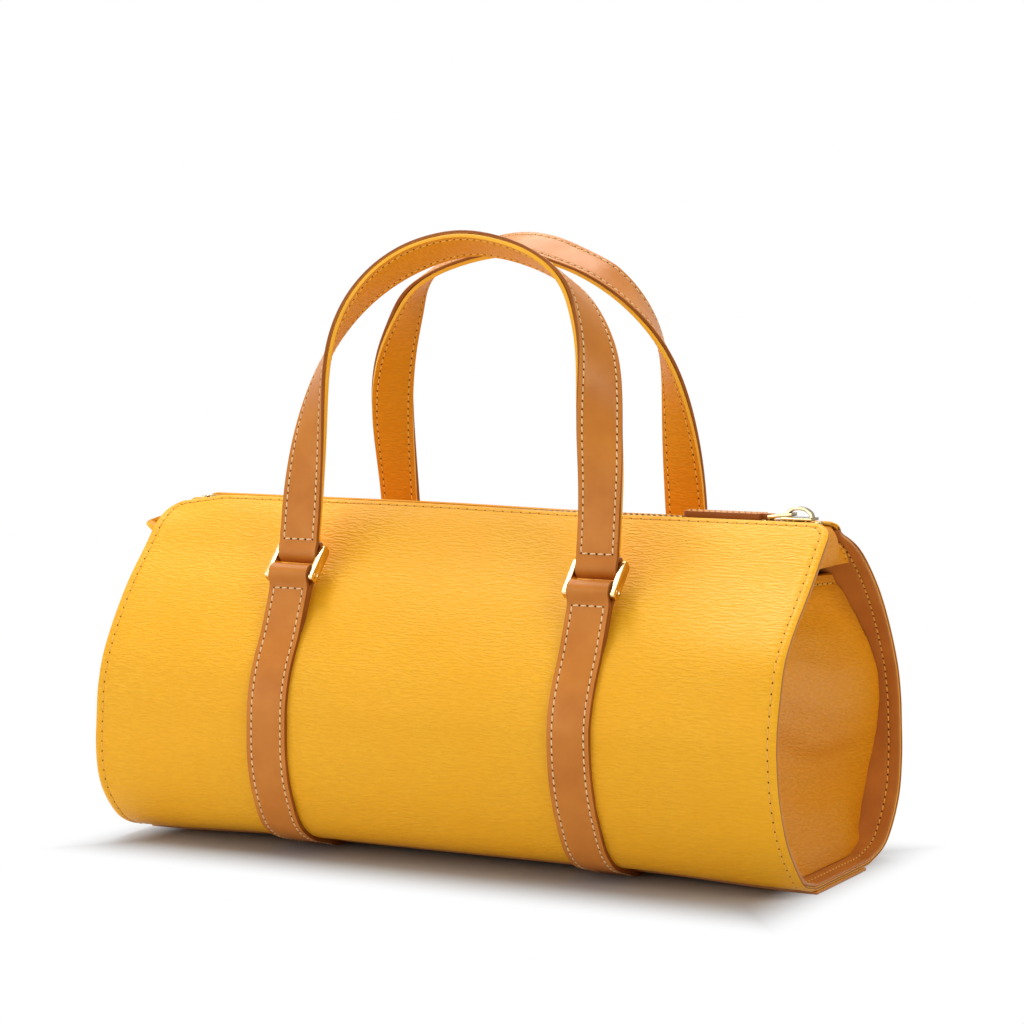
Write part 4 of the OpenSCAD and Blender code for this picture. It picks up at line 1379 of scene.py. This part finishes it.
def makeHandle(side):
    settings = handleSettings
    half = settings["width"] / 2
    offset = half - handleSewing["stitchIn"]
    legs = handleFrames(settings)
    left, right = (loopFrames(end, settings) for end in ends)
    grain = left[:-1] + [(p + settings["ply"] * n, n, e) for p, n, e in legs] + right[1:]
    points = eased([q for q, _, _ in grain], 2)
    first, last = len(left) - 1, len(left) + len(legs) - 2
    lengths = lengthsOf(points)

    def fromEnd(i, line):
        return min(i, len(line) - 1 - i)

    def outerPlace(u, i):
        _, n, e = grain[i]
        sewn = ramp(fromEnd(i, grain), first + settings["sewnFrom"], settings["sewnOver"])
        depth = sewn * sewnDepth(half - abs(u), handleSewing)
        return hang(points[i] + e * u - n * depth, side)

    def liningPlace(u, i):
        p, n, e = legs[i]
        depth = settings["liningFace"] + settings["liningSunk"] - sewnDepth(half - abs(u), liningSewing)
        return hang(p + e * u * settings["liningWidth"] - n * depth, side)

    # between its loops the strap is skived, and the lining fills what it leaves
    def strapShare(i):
        start, over = settings["skivedPlace"]
        return mix(1.0, settings["skived"], ramp(fromEnd(i, grain), first + start, over))

    def liningShare(i):
        thin = settings["liningFace"] / settings["lining"]["thickness"]
        return mix(thin, 1.0, ramp(fromEnd(i, legs), *settings["fullPlace"]))
    name, body = sides[side] + "Handle", sides[side] + "_handle"
    us = stations(-half, half, *settings["columns"])
    outer = addSheet(name + "Strap", us, list(range(len(grain))), outerPlace, (0, 0, 1), settings["outer"],
                     lengths, strapShare)
    finishPiece(outer, body, "tan_leather", sides[side] + "_handle")
    lining = addSheet(name + "LiningLeather", us, list(range(len(legs))), liningPlace, (0, 0, -1),
                      settings["lining"], lengths[first:], liningShare)
    finishPiece(lining, body, "yellow_leather", sides[side] + "_handle_lining")
    origin = hang(Vector((0, 0, 0)), side)

    def run(place, frames, sign, spots):
        return [(place(u, i), (hang(sign * frames[i][1], side) - origin).normalized()) for u, i in spots]
    rows = [[(u, i) for i in range(first, last + 1)] for u in (-offset, offset)]
    cross = stations(-offset, offset, settings["threadStep"])
    rows += [[(u, i) for u in cross] for i in (first, last)]
    liningRows = [[(u, i) for i in range(1, len(legs) - 1)] for u in (-offset, offset)]
    outerRuns = [run(outerPlace, grain, 1, row) for row in rows]
    addStitches(name + "Stitches", outerRuns, body, creamThread)
    liningRuns = [run(liningPlace, legs, -1, row) for row in liningRows]
    addStitches(name + "LiningStitches", liningRuns, body, goldThread)


for side in sides:
    makeHandle(side)
print("handles ready")
bpy.data.objects.remove(threadTemplate)
bpy.data.objects.remove(holeTemplate)

# the floor's paper turns plain white over the two numbers of paperX and paperY, metres from the middle;
# nearer the middle the camera sees the darker, cooler grey of floor, a painted shade round the object that
# deepens its shadow
stageSettings = {
    "size": 8, "floor": (0.42, 0.44, 0.46), "unseen": (0.72, 0.72, 0.72), "paperX": (0.135, 0.17),
    "paperY": (0.052, 0.098), "roughness": 0.9, "specular": 0.1, "world": (1.0, 0.98, 0.95),
    "worldStrength": 0.24}


# camera, glossy and transmission rays see a white surround, the object keeps its shadow on the floor near it
def seenRay(tree):
    ray = addNode(tree, "LightPath")
    seen = calc(tree, "MAXIMUM", ray.outputs["Is Camera Ray"], ray.outputs["Is Glossy Ray"])
    return calc(tree, "MAXIMUM", seen, ray.outputs["Is Transmission Ray"])


def makeFloor(settings):
    floor = addStart(bpy.ops.mesh.primitive_plane_add, "floor", size=settings["size"])
    material, tree, shader = newMaterial("floorPaper", {
        "color": settings["floor"], "roughness": settings["roughness"], "specular": settings["specular"]})
    seen = seenRay(tree)
    # the camera sees the floor in a darker grey than the light it bounces, a painted shade near the object
    tree.links.new(blendColor(tree, seen, settings["unseen"], settings["floor"]), shader.inputs["Base Color"])
    place = addNode(tree, "TexCoord").outputs["Object"]
    axes = addNode(tree, "SeparateXYZ", Vector=place).outputs
    away = [span(tree, calc(tree, "ABSOLUTE", axes[axis], 0.0), *settings[key], kind="SMOOTHSTEP")
            for axis, key in (("X", "paperX"), ("Y", "paperY"))]
    far = times(tree, seen, calc(tree, "MAXIMUM", *away))
    glow = addNode(tree, "Emission", Color=(1, 1, 1, 1), Strength=1.0).outputs[0]
    paper = addNode(tree, "MixShader", i0=far, i1=shader.outputs[0], i2=glow)
    tree.links.new(paper.outputs[0], tree.nodes["Material Output"].inputs[0])
    floor.data.materials.append(material)


def makeWorld(settings):
    world = bpy.data.worlds.new("studio")
    bpy.context.scene.world = world
    world.use_nodes = True
    tree = world.node_tree
    back = tree.nodes["Background"]
    back.inputs[0].default_value = (*settings["world"], 1)
    back.inputs[1].default_value = settings["worldStrength"]
    white = addNode(tree, "Background", Color=(1, 1, 1, 1), Strength=1.0).outputs[0]
    surround = addNode(tree, "MixShader", i0=seenRay(tree), i1=back.outputs[0], i2=white)
    tree.links.new(surround.outputs[0], tree.nodes["World Output"].inputs[0])


# each lamp is (place, what it looks at, width and height, watts)
lampSettings = {
    "keyLamp": ((-0.25, 0.75, 1.6), (0, 0, 0.1), (0.9, 0.7), 18),
    "topLamp": ((-0.7, 0.0, 1.6), (0, 0, 0.1), (1.2, 0.5), 16),
    "frontLamp": ((-0.9, -1.75, 0.55), (0, 0, 0.08), (2.2, 1.4), 17.4),
    "sideLamp": ((1.4, -0.5, 1.2), (0, 0, 0.1), (0.8, 0.8), 12)}


def addLamp(name, place, target, size, power):
    bpy.ops.object.light_add(type="AREA", location=place)
    lamp = bpy.context.object
    lamp.name = name
    lamp.data.shape = "RECTANGLE"
    lamp.data.size, lamp.data.size_y = size
    lamp.data.energy = power
    lamp.rotation_euler = (Vector(target) - Vector(place)).to_track_quat("-Z", "Y").to_euler()


makeFloor(stageSettings)
makeWorld(stageSettings)
for name, values in lampSettings.items():
    addLamp(name, *values)
bpy.context.scene.view_settings.view_transform = "Standard"
print("stage ready")
